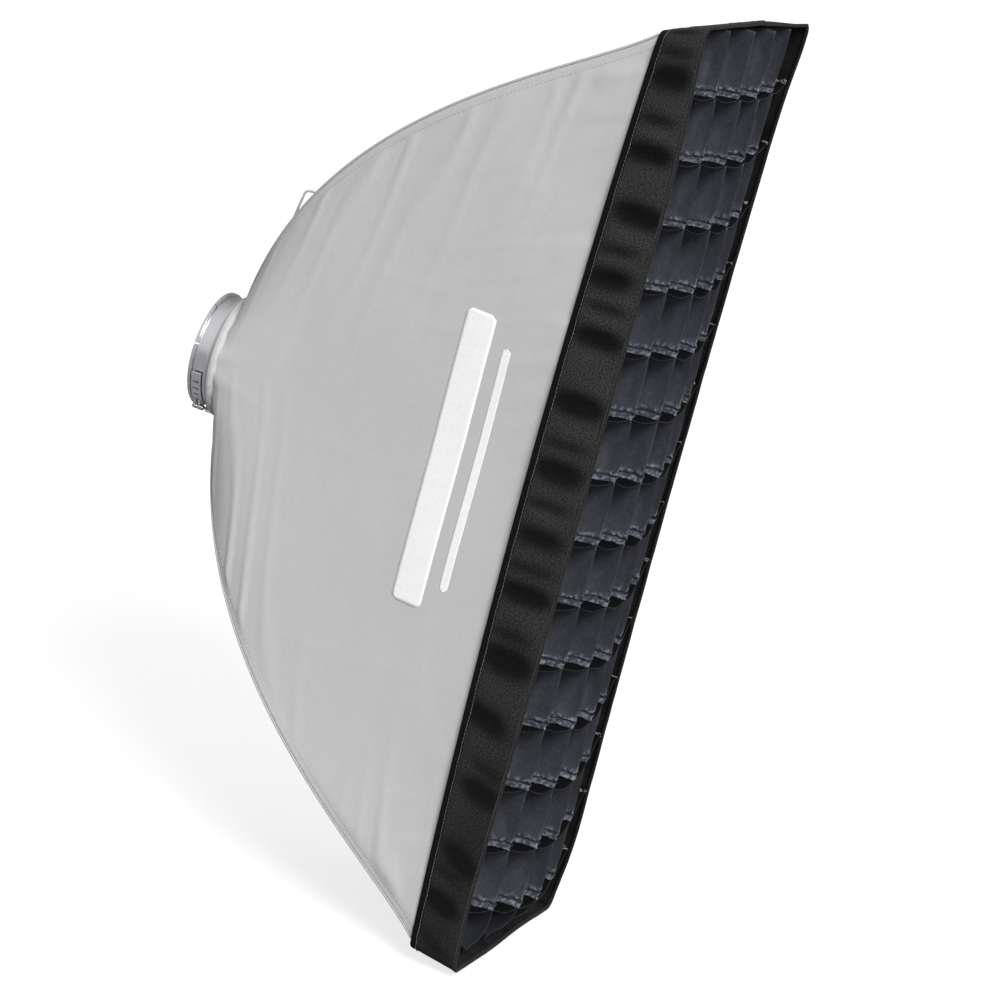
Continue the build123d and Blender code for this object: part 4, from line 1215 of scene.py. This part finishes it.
def wall_point(x_wall, cell, seed, n, f):
    """A point of one cell's wall, n rows up and f of the way to the front, and its painted light: the share
    of painted highlight there.
    """
    bottom = cell == 0
    swell = grid_swell(x_wall, ROW_PITCH * (cell + 0.5 - ROWS / 2))
    front = GRID_FRONT - 1.8 + swell
    if bottom:
        front = GRID_FRONT - 7.0 + (5.2 + swell) * smooth(n / WALL_ROWS * 1.05)
    depth = WALL_REAR + (front - WALL_REAR) * f
    low, high = wall_ends(cell, x_wall, depth)
    if n <= HEM_ROWS:
        up = HEM_HEIGHT * n / HEM_ROWS
    else:
        up = HEM_HEIGHT + (high - low - HEM_HEIGHT) * (n - HEM_ROWS) / (WALL_ROWS - HEM_ROWS)
    v = min(1.0, up / (high - low))
    middle, reach = arch(v), 0.35 + 0.65 * f
    bow = 2.0 + (3.0 if bottom else 2.5) * random_at(seed, 0.7)
    lean = 7.0 if bottom else 3.0 * (random_at(seed, 5.5) - 0.5)
    # Across its depth the cloth bellies away and turns back at the front edge.
    turn = (f - 0.66) / (0.66 if f < 0.66 else 0.34)
    x = x_wall + bow * middle**0.8 * reach + lean * middle * f
    x += (3.2 + 1.6 * random_at(seed, 3.3)) * (1 - turn * turn) * (0.25 + 0.75 * middle)
    x += 3.2 * f * wobble(v * 1.6, seed * 1.7, f * 1.6, 16.0) * middle
    x += 1.7 * wobble(v * 0.8, seed * 2.9, f * 3.4, 25.0) * middle
    # Slack folds that cross the cloth at a slant.
    fold = ridge(v * 1.1 + f * 0.9 * (random_at(seed, 2.9) - 0.5), f * 1.6, seed * 4.1, 21.0)
    x += 1.3 * fold * middle**0.6 * (0.4 + 0.6 * f)
    z, poke, painted_light = low + up, 0.4 * wobble(v * 3, seed * 3.1, 0, 19.0), 0.0
    if bottom:
        groove = bell(up - STITCH_HEIGHT - 0.9 * wobble(depth * 0.22, seed * 1.1, 0, 24.0), 0.8)
        x += 1.4 * groove * reach - 14.0 * (1 - v) * f
    else:
        push, painted_light, fade = hem_crumple(up, depth, seed)
        x -= push * reach
        z += 0.8 * fade * wobble(depth * 0.25, seed * 1.9, up * 0.1, 22.0)
        # The front edge stands out at the hem.
        poke += 1.6 * fade * ridge(up * 0.2, seed * 2.2, 0, 23.0)
    forward, lift = corner_pull(x, z, smooth(f))
    return Vector((x, -(depth + poke * f**3 + forward * 0.8), z + lift)), painted_light


def long_walls():
    """Walls across X, one per cell, each sewn to the strip under it with a crumpled hem."""
    sheet, slack, edges, threads = Sheet(), Sheet(), Sheet(), Sheet()
    painted_light = []
    for column in range(1, COLUMNS):
        x_wall = COLUMN_PITCH * (column - COLUMNS / 2)
        for cell in range(ROWS):
            seed = column * 20 + cell
            cloth = [[wall_point(x_wall, cell, seed, n, f) for f in steps(WALL_COLUMNS)]
                     for n in range(WALL_ROWS + 1)]
            rows = [[point for point, _ in row] for row in cloth]
            target = sheet if cell else slack
            target.add(rows, uv_offset=(0.2 * column, 0.07 * cell))
            if cell == 0:
                continue
            painted_light += [value for row in cloth for _, value in row]
            edges.add(tube_rows([row[-1] for row in rows], 0.3, 6, 1.0, Vector((1, 0, 0))), closed=True)
            stitch_row = [point - Vector((0.3, 0, 0)) for point in rows[HEM_ROWS // 2]]
            normals = [Vector((-1, 0, 0))] * len(stitch_row)
            stitch_run(threads, stitch_row, normals, 3.0, 0.7, 0.8, 0.25, wander=0.6)
    sheet.finish("grid_long_walls", GRID, "grid", thickness=0.5, replaces="grid_long_strips",
                 slot="grid_fabric", painted_light=painted_light)
    # The bottom row's walls take the painted-shade copy of the satin.
    slack.finish("grid_bottom_walls", GRID_BOTTOM_SHADE, "grid", thickness=0.5, slot="grid_fabric")
    edges.finish("grid_long_edges", GRID_EDGE, "grid", slot="grid_fabric")
    threads.finish("grid_hem_stitches", BLACK_THREAD, "grid", slot="grid_fabric")


def bar_tacks():
    """Short stitched tacks where each row meets the skirt's long sides."""
    threads = Sheet()
    for side in (-1, 1):
        for k in range(1, ROWS):
            for n in range(12):
                seed = k * 13 + n + (100 if side > 0 else 0)
                depth = GRID_FRONT - 4 - 15 * random_at(seed, 1.1)
                z = strip_height(k, side * 149.0, depth) + 4.0 * (random_at(seed, 2.2) - 0.3)
                turn = 1.2 * (random_at(seed, 3.3) - 0.5)
                half = Vector((0, -math.cos(turn), math.sin(turn))) * 1.8
                centre = Vector((side * 147.9, -depth, z))
                inward = [Vector((-side, 0, 0))] * 2
                stitch_run(threads, [centre - half, centre + half], inward, 3.4, 0.1, 0.6, 0.4)
    threads.finish("grid_bar_tacks", THREAD, "grid", slot="grid_fabric")


# ------------------------------------------------------------------ hard pieces from the CAD

CAD_LOOKS = {
    LATCH: ["latch_bracket", "latch_keeper", "latch_lever", "latch_link", "lever_pin", "link_pin",
            "rod_sockets"],
    SPRING: ["retaining_clip", "socket_screws", "baffle_snaps"]
            + ["rod_" + name for name in CORNER_NAMES.values()],
    ALLOY: ["mount_ring"],
    POLISHED: ["clamp_band"],
    RUBBER: ["friction_ring"],
    HUB: ["hub_ring"],
    BLACK_PLASTIC: ["rod_tips"],
}


def dress_cad():
    for look, nodes in CAD_LOOKS.items():
        for node in nodes:
            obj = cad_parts[node]
            if obj.material_slots:
                for slot in obj.material_slots:
                    slot.material = look
            else:
                obj.data.materials.append(look)


# ------------------------------------------------------------------ scene

FLOOR_GAP = 0.006
FLOOR_SIZE = 60.0
LIGHT_FROM = Vector((-0.60, -0.50, 0.62)).normalized()
CAMERA_PLACE = (-3.9966, -1.6117, 0.9343)
CAMERA_FORWARD = Vector((0.9267, 0.2988, -0.2279)).normalized()
CAMERA_UP = Vector((0.1287, 0.3173, 0.9396))


def white_floor():
    height = cad_bounds[0][2] - FLOOR_GAP
    corners = [(x * FLOOR_SIZE, y * FLOOR_SIZE, height) for x, y in ((-1, -1), (1, -1), (1, 1), (-1, 1))]
    mesh = bpy.data.meshes.new("floor")
    mesh.from_pydata(corners, [], [(0, 1, 2, 3)])
    floor = bpy.data.objects.new("floor", mesh)
    bpy.context.scene.collection.objects.link(floor)
    # The floor looks white to the camera but throws only a little light back up.
    look = Look("pale_floor")
    seen = look.node("ShaderNodeLightPath").outputs["Is Camera Ray"]
    look.set(Base_Color=(0.30, 0.30, 0.30, 1), Roughness=0.95, Specular_IOR_Level=0.0)
    look.set(Emission_Color=(1, 1, 1, 1), Emission_Strength=look.math("MULTIPLY", seen, 0.76))
    mesh.materials.append(look.material)


def light():
    """A soft dome, brighter from above and in front on the left, and a broad sun from there."""
    world = bpy.data.worlds.new("studio")
    bpy.context.scene.world = world
    world.use_nodes = True
    tree = world.node_tree
    coords = tree.nodes.new("ShaderNodeTexCoord")
    dot = tree.nodes.new("ShaderNodeVectorMath")
    dot.operation = "DOT_PRODUCT"
    dot.inputs[1].default_value = LIGHT_FROM
    tree.links.new(coords.outputs["Generated"], dot.inputs[0])
    curve = tree.nodes.new("ShaderNodeMapRange")
    curve.interpolation_type = "SMOOTHSTEP"
    for socket, value in (("From Min", -0.5), ("From Max", 1.0), ("To Min", 0.26), ("To Max", 0.85)):
        curve.inputs[socket].default_value = value
    tree.links.new(dot.outputs["Value"], curve.inputs["Value"])
    tree.links.new(curve.outputs["Result"], tree.nodes["Background"].inputs["Strength"])
    tree.nodes["Background"].inputs["Color"].default_value = (1, 1, 1, 1)
    lamp = bpy.data.lights.new("key", "SUN")
    lamp.energy = 2.9
    lamp.angle = math.radians(26)
    key = bpy.data.objects.new("key", lamp)
    key.rotation_euler = (-LIGHT_FROM).to_track_quat("-Z", "Y").to_euler()
    bpy.context.scene.collection.objects.link(key)


def place_camera():
    camera = bpy.data.cameras.new("camera")
    camera.lens = 162.0
    camera.sensor_width = 36.0
    camera.clip_end = 200.0
    obj = bpy.data.objects.new("camera", camera)
    up = (CAMERA_UP - CAMERA_FORWARD * CAMERA_UP.dot(CAMERA_FORWARD)).normalized()
    right = CAMERA_FORWARD.cross(up)
    rotation = Matrix((right, up, -CAMERA_FORWARD)).transposed().to_4x4()
    obj.matrix_world = Matrix.Translation(CAMERA_PLACE) @ rotation
    bpy.context.scene.collection.objects.link(obj)
    bpy.context.scene.camera = obj


long_panel("left")
long_panel("right")
short_panel("top")
short_panel("bottom")
access_flap()
opening_tape()
seams()
rod_sleeves()
neck()
linings()
printed_bars()
hem_and_tapes()
front_diffuser()
inner_baffle()
skirt()
hook_tapes()
cross_walls()
long_walls()
bar_tacks()
dress_cad()
white_floor()
light()
place_camera()
bpy.context.scene.view_settings.view_transform = "Standard"
